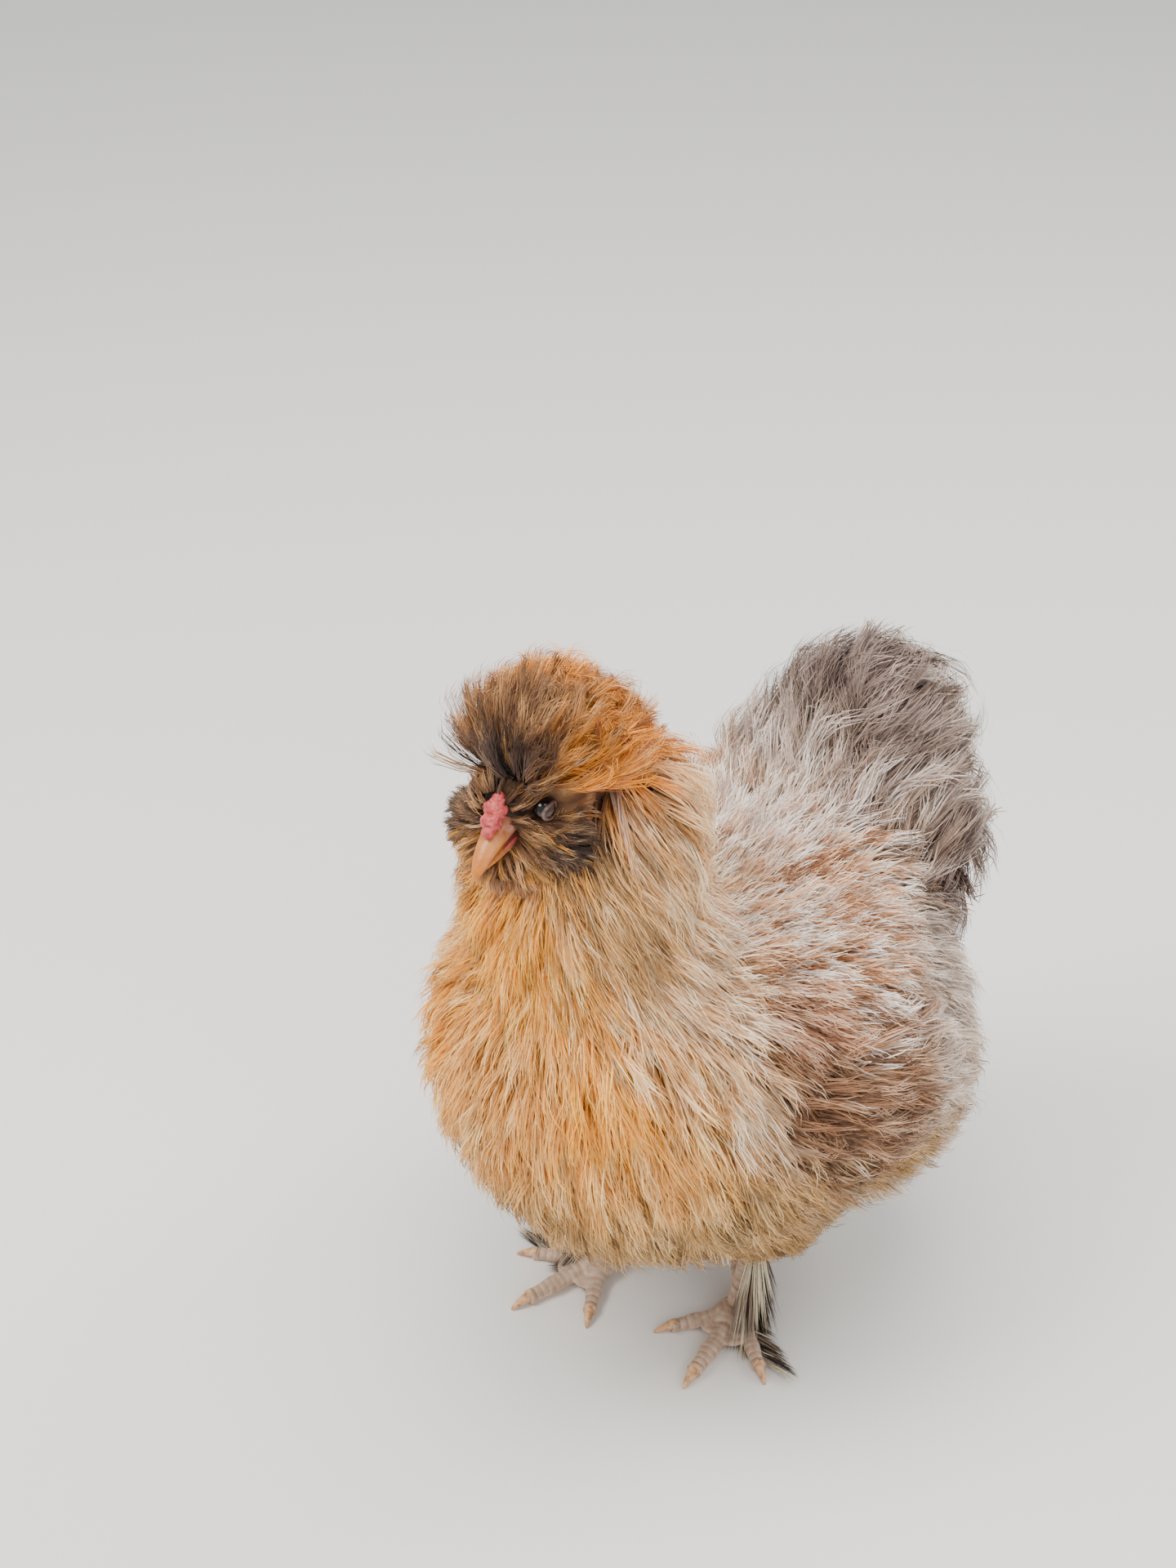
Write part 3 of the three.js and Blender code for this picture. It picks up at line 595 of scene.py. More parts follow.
def make_skin():
    """Draws overlapping balls onto the skin's field, which gives one closed mesh with no seam."""
    cores = [BODY, REAR, NECK, CREST, TAIL, thigh(1), thigh(-1)]
    skin = ball_cluster("skin", [(shape["at"], shape["half"] * CORE_SHARE) for shape in cores] + BRIDGES)
    applied(skin, "REMESH", mode="VOXEL", voxel_size=FIRST_VOXEL * MM)
    points = mesh_points(skin)
    for _ in range(DRAW["times"]):
        miss = np.clip(skin_field(points), -DRAW["reach"], DRAW["reach"])
        points -= slope_of(skin_field, points) * (miss * DRAW["share"])[:, None]
    set_points(skin, points)
    applied(skin, "REMESH", mode="VOXEL", voxel_size=LAST_VOXEL * MM)
    applied(skin, "SMOOTH", factor=0.6, iterations=8)
    points = mesh_points(skin)
    clumps = np.array([noise.noise(Vector(p) / 6.0) for p in points]) * 0.8 + 0.5
    # The skin's markings are darkened as painted shade, like the strands' roots, and are darker still round
    # the bill.
    near_bill = 1 - smoothstep(9, 18, np.linalg.norm(points - on_head(18, 0, -4), axis=1))
    shade = 0.55 - 0.4 * near_bill[:, None]
    paint(skin, "MarkingsAndShade", markings(points, np.clip(clumps, 0, 1)) * shade)
    skin.data.materials.append(skin_material())
    layer = skin.data.uv_layers.new(name="OFBake")
    corners = np.zeros(len(skin.data.loops), np.int32)
    skin.data.loops.foreach_get("vertex_index", corners)
    layer.data.foreach_set("uv", skin_unwrap(points)[corners].astype(np.float32).ravel())
    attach(skin, "root")
    paired = [f"{limb}_{side_name}" for limb in ("wing", "thigh") for side_name, _ in SIDES]
    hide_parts("head", "neck", "torso", "tail", "crest", *paired)


# The coat. A lock is a clump of strands that start apart and draw together at the tip. It rises from its root
# to the coat's outline over a share of its length.
LOCK_STEPS = 8
RISEN_AT = 0.8
ROOT_DEPTH = 2
STRAND_STEPS = np.array([0.0, 0.24, 0.5, 0.76, 1.0])
STRAND_WIDTHS = np.array([0.75, 1.0, 0.85, 0.5]) * 0.5
STRAND_POINTS = 9
GATHER = 0.72
RIPPLE_TURN = 9.0
PATCH_SIZE = 0.003
PIECE_STRANDS = 27000


def lie_of_torso(points):
    y = points[:, 1]
    back = np.clip((y + 60) / 120, 0.1, 1)
    drop = smoothstep(95, 145, y)
    upper = smoothstep(190, 235, points[:, 2])
    down = -0.75 - 0.4 * drop + 0.45 * upper
    return np.stack([points[:, 0] * 0.004, back * (1 - 0.6 * drop), down], axis=1)


def lie_of_tail(points):
    p = points - TAIL["at"]
    return np.stack([p[:, 0] * 0.008, p[:, 2] + 22, 26 - p[:, 1]], axis=1)


def lie_from(pole, lift):
    """Locks that part at a pole, run over the top and meet on the far side."""

    def lie(points):
        return unit(points - pole) + UP * lift

    return lie


def lie_along(splay, back, down):
    """Locks that lie one way over a whole region, a little splayed from the hen's middle."""

    def lie(points):
        count = len(points)
        return np.stack([points[:, 0] * splay, np.full(count, back), np.full(count, down)], axis=1)

    return lie


def sphere_rays(count, rng):
    index = np.arange(count) + 0.5
    up = 1 - 2 * index / count
    turn = index * math.pi * (3 - math.sqrt(5)) + rng.uniform(-0.3, 0.3, count)
    ring = np.sqrt(1 - up * up)
    return np.stack([ring * np.cos(turn), ring * np.sin(turn), up], axis=1)


def surface_points(field, centre, rays):
    """Where rays from inside a field meet its surface."""
    near, far = np.zeros(len(rays)), np.full(len(rays), 300.0)
    for _ in range(26):
        middle = (near + far) / 2
        inside = field(centre + rays * middle[:, None]) < 0
        near, far = np.where(inside, middle, near), np.where(inside, far, middle)
    return centre + rays * near[:, None]


def unchanged(points):
    return np.ones(len(points))


# The back's locks are short, and the flanks' are long.
def short_on_back(points):
    return 1 - 0.5 * smoothstep(165, 215, points[:, 2]) * smoothstep(-70, -20, points[:, 1])


# The crest stands up short over the comb and sweeps back long behind and at the sides.
def short_in_front(points):
    return 1 - 0.3 * smoothstep(8, 28, (points - CREST["at"]) @ HEAD_FORWARD)


def lock_paths(region, rng):
    """The middle line of every lock of a region, with its outward and lengthwise directions, step by step."""
    outline = blend(region["shapes"], FILLET["body"])
    depth = region["depth"]
    rays = sphere_rays(region["locks"], rng)
    roots = surface_points(lambda p: outline(p) + depth, np.asarray(region["centre"], float), rays)
    roots = roots[region["wants"](roots)]
    count = len(roots)
    long = region["long"] * rng.uniform(0.72, 1.15, count) * region["shorter"](roots)
    stray = region["stray"] * rng.uniform(-1.0, 1.0, count) ** 3
    stray = stray + region["stray"] * rng.uniform(-0.8, 0.35, count)
    swirl = rng.normal(0, region["swirl"], (count, 3))
    points, outwards, alongs = [], [], []
    here = roots.copy()
    for i in range(LOCK_STEPS + 1):
        t = i / LOCK_STEPS
        risen = min(t / RISEN_AT, 1) ** region["rise"]
        level = -(depth + ROOT_DEPTH) + (depth + ROOT_DEPTH + stray) * risen
        for _ in range(2):
            here -= slope_of(outline, here) * (outline(here) - level)[:, None]
        outward = slope_of(outline, here)
        along = unit(region["lie"](here)) + swirl * (0.35 + t)
        along = unit(along - outward * np.sum(along * outward, axis=1, keepdims=True))
        points.append(here.copy())
        outwards.append(outward)
        alongs.append(along)
        here = here + along * (long / LOCK_STEPS)[:, None]
    return np.array(points), np.array(outwards), np.array(alongs)


def at_share(values, share):
    """Values of a path between its steps."""
    place = share * (len(values) - 1)
    low = int(min(place, len(values) - 2))
    return values[low] + (values[low + 1] - values[low]) * (place - low)


def grow_strands(region, rng):
    """Strands of a region: their points by step, their flat sides' directions, their locks and their roots."""
    points, outwards, alongs = lock_paths(region, rng)
    count = points.shape[1]
    lock = np.repeat(np.arange(count), region["strands"])
    total = len(lock)
    turn = rng.uniform(0, 2 * math.pi, total)
    far = region["spread"] * np.sqrt(rng.uniform(0, 1, total))
    share = rng.uniform(0.68, 1.08, total)
    wave = rng.uniform(0, 2 * math.pi, total)
    frizz = region["frizz"] * rng.uniform(0.3, 1.4, total)
    drift = rng.normal(0, region["loose"], (total, 2))
    lines = []
    sides = []
    for t in STRAND_STEPS:
        along = unit(at_share(alongs, t))[lock]
        outward = unit(at_share(outwards, t))[lock]
        across = unit(np.cross(outward, along))
        pull = 1 - GATHER * t
        ripple = frizz * t * np.sin(wave + t * RIPPLE_TURN)
        sideways = (far * np.cos(turn) * pull + drift[:, 0] * t**1.5 + ripple)[:, None]
        outwards_by = (far * np.sin(turn) * pull * 0.5 + drift[:, 1] * t**1.5 * 0.7 + ripple * 0.4)[:, None]
        forward = ((share - 1) * region["long"] * t)[:, None]
        lines.append(at_share(points, t)[lock] + across * sideways + outward * outwards_by + along * forward)
        sides.append((across, outward))
    roll = rng.uniform(-0.9, 0.9, total)
    cosine, sine = np.cos(roll)[:, None], np.sin(roll)[:, None]
    flats = [unit(across * cosine + outward * sine) for across, outward in sides]
    clear = clear_of_face(np.array(lines))
    return np.array(lines)[:, clear], np.array(flats)[:, clear], lock[clear], points[0][lock][clear]


def clear_of_face(lines):
    """Which strands keep off the bill, the comb, the eyes and the earlobes."""
    flat = lines.reshape(-1, 3)
    root, tip = on_head(12, 0, -5), on_head(38, 0, -18)
    share = np.clip((flat - root) @ (tip - root) / np.sum((tip - root) ** 2), 0, 1)
    bill = np.linalg.norm(flat - root - share[:, None] * (tip - root), axis=1) > 7.0 - 2.2 * share
    free = bill & (np.linalg.norm(flat - on_head(20.5, 0, 2.5), axis=1) > 5.6)
    for side in (1, -1):
        before_eye = on_head(EYE["forward"], side * (EYE["side"] + 2), EYE["up"])
        free &= np.linalg.norm(flat - before_eye, axis=1) > 5.0
        free &= np.linalg.norm(flat - on_head(-6, side * 20, -7), axis=1) > 4.2
    return free.reshape(lines.shape[:2]).all(axis=0)


def strand_mesh(name, lines, flats, wide, colours, roots, material, slot):
    """One piece of tapered strands. Each is a flat blade of three four-sided faces and a point."""
    total = lines.shape[1]
    rows = []
    for line, flat, width in zip(lines, flats, STRAND_WIDTHS):
        offset = flat * (wide * width)[:, None]
        rows.extend([line - offset, line + offset])
    rows.append(lines[-1])
    points = np.stack(rows, axis=1).reshape(-1, 3)
    base = np.arange(total) * STRAND_POINTS
    quads = np.array([[0, 1, 3, 2], [2, 3, 5, 4], [4, 5, 7, 6]])
    quad_corners = (base[:, None, None] + quads[None]).reshape(-1)
    tips = (base[:, None] + np.array([6, 7, 8])[None]).reshape(-1)
    mesh = bpy.data.meshes.new(name)
    mesh.vertices.add(len(points))
    mesh.vertices.foreach_set("co", placed(points).astype(np.float32).ravel())
    corners = np.concatenate([quad_corners, tips]).astype(np.int32)
    mesh.loops.add(len(corners))
    mesh.loops.foreach_set("vertex_index", corners)
    quad_starts = np.arange(total * len(quads)) * 4
    tip_starts = len(quad_corners) + np.arange(total) * 3
    starts = np.concatenate([quad_starts, tip_starts]).astype(np.int32)
    mesh.polygons.add(len(starts))
    mesh.polygons.foreach_set("loop_start", starts)
    mesh.polygons.foreach_set("use_smooth", np.ones(len(starts), bool))
    mesh.update(calc_edges=True)
    made = linked(name, mesh)
    mesh.materials.append(material)
    # The strands' colours hold their markings and the painted shade at their roots.
    paint(made, "MarkingsAndShade", colours)
    # Each strand's patch of the unwrap lies at its root's place on the skin's.
    tall = np.array([0, 0, 0.3, 0.3, 0.6, 0.6, 0.85, 0.85, 1.0])
    sideways = np.array([0, 1, 0, 1, 0, 1, 0, 1, 0.5])
    patch_uv = np.stack([sideways, tall], axis=1) * PATCH_SIZE
    uv = (skin_unwrap(roots)[:, None, :] + patch_uv[None]).reshape(-1, 2)
    layer = mesh.uv_layers.new(name="OFBake")
    layer.data.foreach_set("uv", uv[corners].astype(np.float32).ravel())
    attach(made, "root")


def strand_colours(lines, lock, region, rng):
    """Colours along each strand: a root darkened as painted shade, its tone, and a brighter tip, or a dark one
    if flecked.
    """
    locks = lock.max() + 1
    pick = rng.uniform(0, 1, locks)[lock]
    chance = np.clip(rng.uniform(0, 1, locks)[lock] * 0.75 + rng.uniform(0, 1, len(lock)) * 0.25, 0, 1)
    tone = markings(lines[2], chance, pick)
    tip_tone = markings(lines[4], np.clip(chance + rng.normal(0, 0.15, len(lock)), 0, 1), pick)
    bright = (rng.uniform(0.9, 1.1, locks)[lock] * rng.uniform(0.88, 1.12, len(lock)))[:, None]
    flecked = (rng.uniform(0, 1, locks) < region["flecks"])[lock][:, None]
    # The root is darkened as painted shade, and the tip is brighter.
    shades = [0.5, 0.8, 1.0, 1.05, 1.1]
    dims = [1.0, 1.0, 1.0, 0.5, 0.42]
    rows = []
    for i, (shade, dim) in enumerate(zip(shades, dims)):
        row = (tone + (tip_tone - tone) * (i / 4)) * shade * bright * np.where(flecked, dim, 1.0)
        rows.extend([row, row])
    return np.clip(np.stack(rows[:STRAND_POINTS], axis=1), 0, 1)


def in_cone(points, apex, axis, angle):
    p = points - np.asarray(apex, float)
    reach = np.sum(p * unit(np.asarray(axis, float)), axis=1) / np.maximum(np.linalg.norm(p, axis=1), 1e-6)
    return reach > math.cos(math.radians(angle))


def on_bare_face(points):
    p = points - SKULL
    forward = p @ HEAD_FORWARD
    left = np.abs(p @ HEAD_LEFT)
    by_bill = (forward > 19) & (left < 5) & (p[:, 2] > -15)
    by_eye = (np.abs(forward - EYE["forward"]) < 4.5) & (np.abs(p[:, 2] - EYE["up"]) < 4)
    return by_bill | by_eye


def on_crown(points):
    """The crest's roots reach down a little behind the face, and stay over the brow in front."""
    forward = (points - SKULL) @ HEAD_FORWARD
    return (points[:, 2] - SKULL[2] > 11 + 0.5 * np.minimum(forward, 0)) & ~on_bare_face(points)


# The regions of the coat: the forms of the outline, the place that the locks are spread from, and how many
# locks there are, of how many strands. In millimetres, depth is how far roots lie under the outline, long and
# spread are a lock's length and its reach at the root, wide is a strand's width, stray is how far locks leave
# the outline, and loose is how far strands leave their lock.
COAT = {"rise": 0.8, "frizz": 0.8, "flecks": 0.05, "shorter": unchanged, "slot": "body_feather"}
REGIONS = {
    "coat_body": {
        "shapes": [BODY, BREAST, REAR, CUSHION, RUMP], "centre": (0, 24, 160), "locks": 7600, "strands": 16,
        "depth": 14, "long": 40, "wide": 0.75, "spread": 4.6, "stray": 5, "swirl": 0.16, "loose": 2.6,
        "lie": lie_of_torso, "flecks": 0.1, "shorter": short_on_back,
        "wants": lambda p: ~in_cone(p, (0, 100, 200), (0, 0.5, 0.87), 30),
    },
    "coat_neck": {
        "shapes": [NECK, NAPE, BREAST], "centre": (-3, -46, 262), "locks": 1900, "strands": 18,
        "depth": 13, "long": 36, "wide": 0.6, "spread": 3.6, "stray": 4, "swirl": 0.14, "loose": 1.8,
        "frizz": 0.7, "lie": lie_along(0.01, 0.28, -1.0), "flecks": 0.16, "slot": "neck_feather",
        "wants": lambda p: (p[:, 2] > 212) & (p[:, 2] < 318) & ~on_bare_face(p),
    },
    "coat_crest": {
        "shapes": [CREST], "centre": CREST["at"], "locks": 1500, "strands": 16,
        "depth": 19, "long": 24, "wide": 0.45, "spread": 2.3, "stray": 8, "swirl": 0.36, "loose": 1.5,
        "rise": 1.0, "frizz": 0.6, "lie": lie_from(on_head(24, 0, 6), 0.35), "flecks": 0.38,
        "shorter": short_in_front, "slot": "crest_feather", "wants": on_crown,
    },
    "coat_face": {
        "shapes": [HEAD_BALL, muff(1), muff(-1), BEARD], "centre": SKULL - UP * 8,
        "locks": 1900, "strands": 12,
        "depth": 2.0, "long": 12, "wide": 0.3, "spread": 1.2, "stray": 2.4, "swirl": 0.3, "loose": 0.8,
        "frizz": 0.4, "lie": lie_from(on_head(26, 0, -2), -0.25), "slot": "face_feather",
        "wants": lambda p: ~on_bare_face(p),
    },
    "coat_tail": {
        "shapes": [TAIL, TAIL_TOP, covert(1), covert(-1)], "centre": (0, 118, 226),
        "locks": 1700, "strands": 17,
        "depth": 15, "long": 46, "wide": 0.75, "spread": 3.0, "stray": 10, "swirl": 0.34, "loose": 2.6,
        "rise": 0.7, "frizz": 1.9, "lie": lie_of_tail, "slot": "tail_feather",
        "wants": lambda p: in_cone(p, (0, 88, 176), (0, 0.5, 0.866), 66),
    },
}
for side_name, side in SIDES:
    REGIONS[f"coat_wing_{side_name}"] = {
        "shapes": [wing(side)], "centre": wing(side)["at"], "locks": 900, "strands": 15,
        "depth": 6, "long": 32, "wide": 0.7, "spread": 3.2, "stray": 4, "swirl": 0.3, "loose": 2.0,
        "lie": lie_along(0.0, 1.0, -0.42), "wants": lambda p, side=side: side * p[:, 0] > 84,
    }
    REGIONS[f"coat_thigh_{side_name}"] = {
        "shapes": [thigh(side)], "centre": thigh(side)["at"], "locks": 420, "strands": 16,
        "depth": 9, "long": 30, "wide": 0.6, "spread": 3.2, "stray": 3, "swirl": 0.14, "loose": 1.8,
        "lie": lie_along(0.01, 0.28, -1.0), "wants": lambda p: p[:, 2] < 96,
    }


def grow_coat():
    """Grows every region and parts it into pieces of less than 200,000 triangles."""
    down = down_material("down_feather_silky")
    for number, (name, own) in enumerate(REGIONS.items()):
        region = {**COAT, **own}
        rng = np.random.default_rng(40 + number)
        lines, flats, lock, roots = grow_strands(region, rng)
        colours = strand_colours(lines, lock, region, rng)
        wide = region["wide"] * rng.uniform(0.7, 1.3, lines.shape[1])
        order = np.argsort(roots[:, 1], kind="stable")
        parts = max(1, math.ceil(len(order) / PIECE_STRANDS))
        for index, chosen in enumerate(np.array_split(order, parts)):
            title = name if parts == 1 else f"{name}_{index + 1}"
            tones = colours[chosen].reshape(-1, 3)
            strands = (lines[:, chosen], flats[:, chosen], wide[chosen], tones, roots[chosen])
            strand_mesh(title, *strands, down, region["slot"])


# The bill: two horny halves, the upper one hooked over the lower, with nostrils, which ends in a worn tip.
BILL = {
    "upper": {"back": 9.0, "front": 35.0, "wide": 5.5, "high": 5.4, "top": -3.6, "drop": 8.0, "hook": 5.5},
    "lower": {"back": 9.0, "front": 31.0, "wide": 4.8, "high": 3.0, "top": -11.6, "drop": 3.2, "hook": 0.4},
}


def bill_half(which, material):
    half = BILL[which]
    rings, sides = 34, 40
    pits = [(on_head(18.5, side * 4.6, -4.0), side) for _, side in SIDES] if which == "upper" else []

    def lift(turns):
        # The upper half has a narrow ridge, and the lower one is flat on top.
        top = np.maximum(np.sin(turns), 0)
        return 1 + 0.10 * top**6 if which == "upper" else 1 - 0.12 * top**2

    def ring(t):
        taper = math.sqrt(max(1 - t**2.2, 0.004))
        forward = half["back"] + (half["front"] - half["back"]) * t
        up = half["top"] - half["drop"] * t**1.6 - half["hook"] * t**4
        high = half["high"] * (0.35 + 0.65 * taper) * (1 - 0.5 * t)
        points = ring_points(on_head(forward, 0, up), HEAD_LEFT, UP, half["wide"] * taper, high, sides, lift)
        for pit, side in pits:
            away = np.linalg.norm((points - pit) / np.array([2.0, 2.0, 1.0]), axis=1)
            points += np.outer(np.exp(-(away**2)) * 2.2, -HEAD_LEFT * side)
        return points

    piece = lofted(f"bill_{which}_horn", rings, sides, ring, material)
    paint(piece, "Along", np.repeat(np.linspace(0, 1, rings), sides))
    applied(piece, "SUBSURF", levels=1, render_levels=1)
    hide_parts(f"bill_{which}")


def mouth_corner(material):
    """The fleshy rim at each corner of the mouth."""
    sides = 12
    for side_name, side in SIDES:

        def ring(t, side=side):
            centre = on_head(12 + 9 * t, side * (4.9 - 0.6 * t), -9.1 - 1.6 * t)
            size = 0.7 * math.sin(math.pi * (0.12 + 0.8 * t)) + 0.05
            return ring_points(centre, HEAD_LEFT, UP, size, size * 0.8, sides)

        lofted(f"mouth_rim_{side_name}", 15, sides, ring, material)


# The comb: a low, warty walnut over the bill's root. Each bulb has its place on the head and its radius.
def make_comb(material):
    bulbs = [
        (22.6, 1.3, 0.8, 2.8),
        (22.6, -1.3, 0.8, 2.8),
        (19.4, 1.7, 4.6, 3.0),
        (19.4, -1.7, 4.6, 3.0),
        (24.8, 0, -2.0, 2.5),
        (16.8, 0, 7.6, 2.7),
    ]
    balls = [(on_head(forward, left, up), (radius,) * 3) for forward, left, up, radius in bulbs]
    comb = ball_cluster("comb_walnut", balls)
    applied(comb, "REMESH", mode="VOXEL", voxel_size=0.35 * MM)
    applied(comb, "SMOOTH", factor=0.5, iterations=4)
    points = mesh_points(comb)
    outward = unit(points - on_head(20, 0, 2))
    warts = np.array([noise.noise(Vector(p) / 1.5) + 0.5 * noise.noise(Vector(p) / 0.7) for p in points])
    set_points(comb, points + outward * (warts * 0.75)[:, None])
    comb.data.materials.clear()
    comb.data.materials.append(material)
    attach(comb, "root")
    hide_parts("comb")


def ball_mesh(name, centre, half, material, wrinkle=0.0, grain=2.0):
    blob = bmesh.new()
    bmesh.ops.create_icosphere(blob, subdivisions=5, radius=1)
    local = np.array([v.co for v in blob.verts])
    faces = [tuple(v.index for v in f.verts) for f in blob.faces]
    blob.free()
    scaled = local * np.array(half)
    points = centre + np.outer(scaled[:, 0], HEAD_LEFT) - np.outer(scaled[:, 1], HEAD_FORWARD)
    points += np.outer(scaled[:, 2], UP)
    if wrinkle:
        bumps = np.array([noise.noise(Vector(p) / grain) for p in points])
        points += unit(points - centre) * (bumps * wrinkle)[:, None]
    piece = mesh_object(name, points, faces, material)
    return piece, local


def make_eyes(cornea, lid_skin):
    radius = EYE["radius"]
    rings, sides = 48, 10
    for side_name, side in SIDES:
        centre = on_head(EYE["forward"], side * EYE["side"], EYE["up"])
        eye, local = ball_mesh(f"eyeball_{side_name}", centre, (radius, radius, radius), cornea)
        away = np.degrees(np.arccos(np.clip(local[:, 0] * side, -1, 1)))
        paint(eye, "Iris", np.clip(away / 62, 0, 1))
        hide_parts(f"eye_{side_name}")
        # The lids are one closed rim of skin, drawn to a corner in front and behind.
        points = []
        for i in range(rings):
            turn = 2 * math.pi * i / rings
            open_up = 0.62 if math.sin(turn) > 0 else 0.70
            place = centre + HEAD_FORWARD * math.cos(turn) * radius * 0.92
            place = place + UP * math.sin(turn) * radius * open_up
            place = place + HEAD_LEFT * side * radius * (0.62 - 0.18 * math.cos(turn) ** 2)
            out = unit(place - centre)
            tangent = unit(-HEAD_FORWARD * math.sin(turn) + UP * math.cos(turn) * open_up)
            points.append(ring_points(place, out, np.cross(tangent, out), 0.85, 0.75, sides))
        faces = []
        for i in range(rings):
            here, following = i * sides, (i + 1) % rings * sides
            for k in range(sides):
                beside = (k + 1) % sides
                faces.append((here + k, here + beside, following + beside, following + k))
        rim = mesh_object(f"eyelid_{side_name}", np.concatenate(points), faces, lid_skin)


def make_earlobes(material):
    for side_name, side in SIDES:
        centre = on_head(-6, side * 18, -7)
        half = (2.8, 4.6, 5.6)
        lobe, _ = ball_mesh(f"earlobe_skin_{side_name}", centre, half, material, 0.7, 2.2)
        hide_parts(f"earlobe_{side_name}")


# The feet: scaly toes with a stack of scutes down each back, pads underneath and a horny claw.
TOES = {
    "inner": {"turn": -34, "length": 31, "radius": 4.3, "claw": 10, "scutes": 9},
    "middle": {"turn": 12, "length": 40, "radius": 4.9, "claw": 11, "scutes": 13},
    "outer": {"turn": 58, "length": 32, "radius": 4.2, "claw": 10, "scutes": 10},
    "hind": {"turn": -150, "length": 22, "radius": 3.7, "claw": 9, "scutes": 6},
}
FIFTH = {"turn": -132, "length": 21, "radius": 3.5, "claw": 9, "scutes": 7, "lift": 38, "start": 15}
KNUCKLE = 0.07
TUBE_SIDES = 28
RINGS_PER_SCUTE = 6


def foot_centre(side):
    return np.array([side * STANCE["half"], STANCE["back"] + side * STANCE["stagger"], 0.0])


def toe_axes(side, toe):
    turn, lift = math.radians(toe["turn"]) * side, math.radians(toe.get("lift", 0))
    flat = np.array([math.sin(turn), -math.cos(turn), 0.0])
    along = flat * math.cos(lift) + UP * math.sin(lift)
    across = np.array([-flat[1], flat[0], 0.0])
    over = np.cross(along, across)
    return along, across, over if over[2] > 0 else -over


def toe_point(side, toe, distance):
    along, _, _ = toe_axes(side, toe)
    height = toe.get("start", SOLE - (distance / toe["length"]) * (SOLE - toe["radius"] * 0.56))
    return foot_centre(side) + UP * height + along * distance


def scaly_tube(centres, across, over, sizes, scutes):
    """A tube whose upper side steps up at each scute's lower edge, with the crease's depth at each point,
    which sets how much painted shade the leg skin takes there.
    """
    turns = np.arange(TUBE_SIDES) * 2 * math.pi / TUBE_SIDES
    points, creases = [], []
    for centre, size, phase in zip(centres, sizes, scutes):
        step = phase - math.floor(phase)
        plate = (0.5 + 0.5 * step) * (1 - smoothstep(0.88, 1.0, step))

        def lift(turns, plate=plate):
            upper = np.clip(np.sin(turns) * 1.6 + 0.35, 0, 1)
            pads = 0.05 * np.cos(turns * 5) * np.clip(-np.sin(turns), 0, 1)
            return 0.97 + 0.13 * plate * upper + pads

        points.append(ring_points(centre, across, over, size, size * 0.95, TUBE_SIDES, lift))
        creases.append((1 - plate) * 0.8 * np.clip(np.sin(turns) * 1.5 + 0.5, 0.25, 1))
    return np.concatenate(points), np.concatenate(creases)


def scaly_toe(side, toe, knuckle=0.0):
    """The tube of one toe, with its knuckles, and how many rings it has."""
    _, across, over = toe_axes(side, toe)
    rings = toe["scutes"] * RINGS_PER_SCUTE
    shares = np.linspace(0, 1, rings)
    centres = [toe_point(side, toe, toe["length"] * s) for s in shares]
    sizes = toe["radius"] * (1 - 0.32 * shares) * (1 + knuckle * np.cos(shares * 3 * 2 * math.pi))
    return *scaly_tube(centres, across, over, sizes, shares * toe["scutes"]), rings


def make_foot(side_name, side, material):
    points, creases, faces, start = [], [], [], 0
    for toe in TOES.values():
        tube, depths, rings = scaly_toe(side, toe, KNUCKLE)
        points.append(tube)
        creases.append(depths)
        faces.extend([tuple(v + start for v in f) for f in loft_faces(rings, TUBE_SIDES)])
        start += rings * TUBE_SIDES
    points = np.concatenate(points)
    foot = mesh_object(f"foot_skin_{side_name}", points, faces, material)
    add_pad(foot, side)
    applied(foot, "REMESH", mode="VOXEL", voxel_size=0.42 * MM)
    applied(foot, "SMOOTH", factor=0.5, iterations=2)
    fresh = mesh_points(foot)
    fresh[:, 2] = np.maximum(fresh[:, 2], 0.0)
    set_points(foot, fresh)
    paint(foot, "CreaseShade", nearest_values(points, np.concatenate(creases), fresh))
    foot.data.materials.clear()
    foot.data.materials.append(material)
    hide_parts(f"foot_{side_name}")


def nearest_values(points, values, targets):
    """For each target, the value at the nearest of some points."""
    tree = KDTree(len(points))
    for index, point in enumerate(points):
        tree.insert(point, index)
    tree.balance()
    return np.array([values[tree.find(p)[1]] for p in targets])


def add_pad(foot, side):
    """The ball of the foot and the webs between the toes' roots."""
    ball = ((0, -3, 5.6), (9.6, 11.0, 6.2))
    webs = [((side * 5, -12, 4.6), (8.5, 7.5, 2.6)), ((-side * 3, -12, 4.6), (7.5, 7.0, 2.6))]
    add_balls(
        foot.data,
        [(placed([foot_centre(side) + np.array(at)])[0], np.array(half) * MM) for at, half in (ball, *webs)],
    )


def shank_point(side, share, foot):
    """A point of the shank's middle line, which starts some millimetres over the floor."""
    rise = foot + (SHANK["top"] - 8) * share
    return foot_centre(side) + np.array([side * 3 * share, SHANK["lean"] * share, rise])


def make_shank(side_name, side, material):
    """The shank, and the fifth toe, which stands off it."""
    rings = 96
    shares = np.linspace(0, 1, rings)
    centres = [shank_point(side, share, 7) for share in shares]
    sizes = SHANK["radius"] * (1 + (shares - 0.4) ** 2)
    across, front = np.array([1.0, 0, 0]), np.array([0, -1.0, 0.0])
    shank = (*scaly_tube(centres, across, front, sizes, shares * 15), rings)
    tubes = {"shank_skin": shank, "fifth_toe_skin": scaly_toe(side, FIFTH)}
    for name, (points, creases, rings) in tubes.items():
        faces = loft_faces(rings, TUBE_SIDES)
        piece = mesh_object(f"{name}_{side_name}", points, faces, material)
        paint(piece, "CreaseShade", creases)
        if name == "shank_skin":
            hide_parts(f"shank_{side_name}")


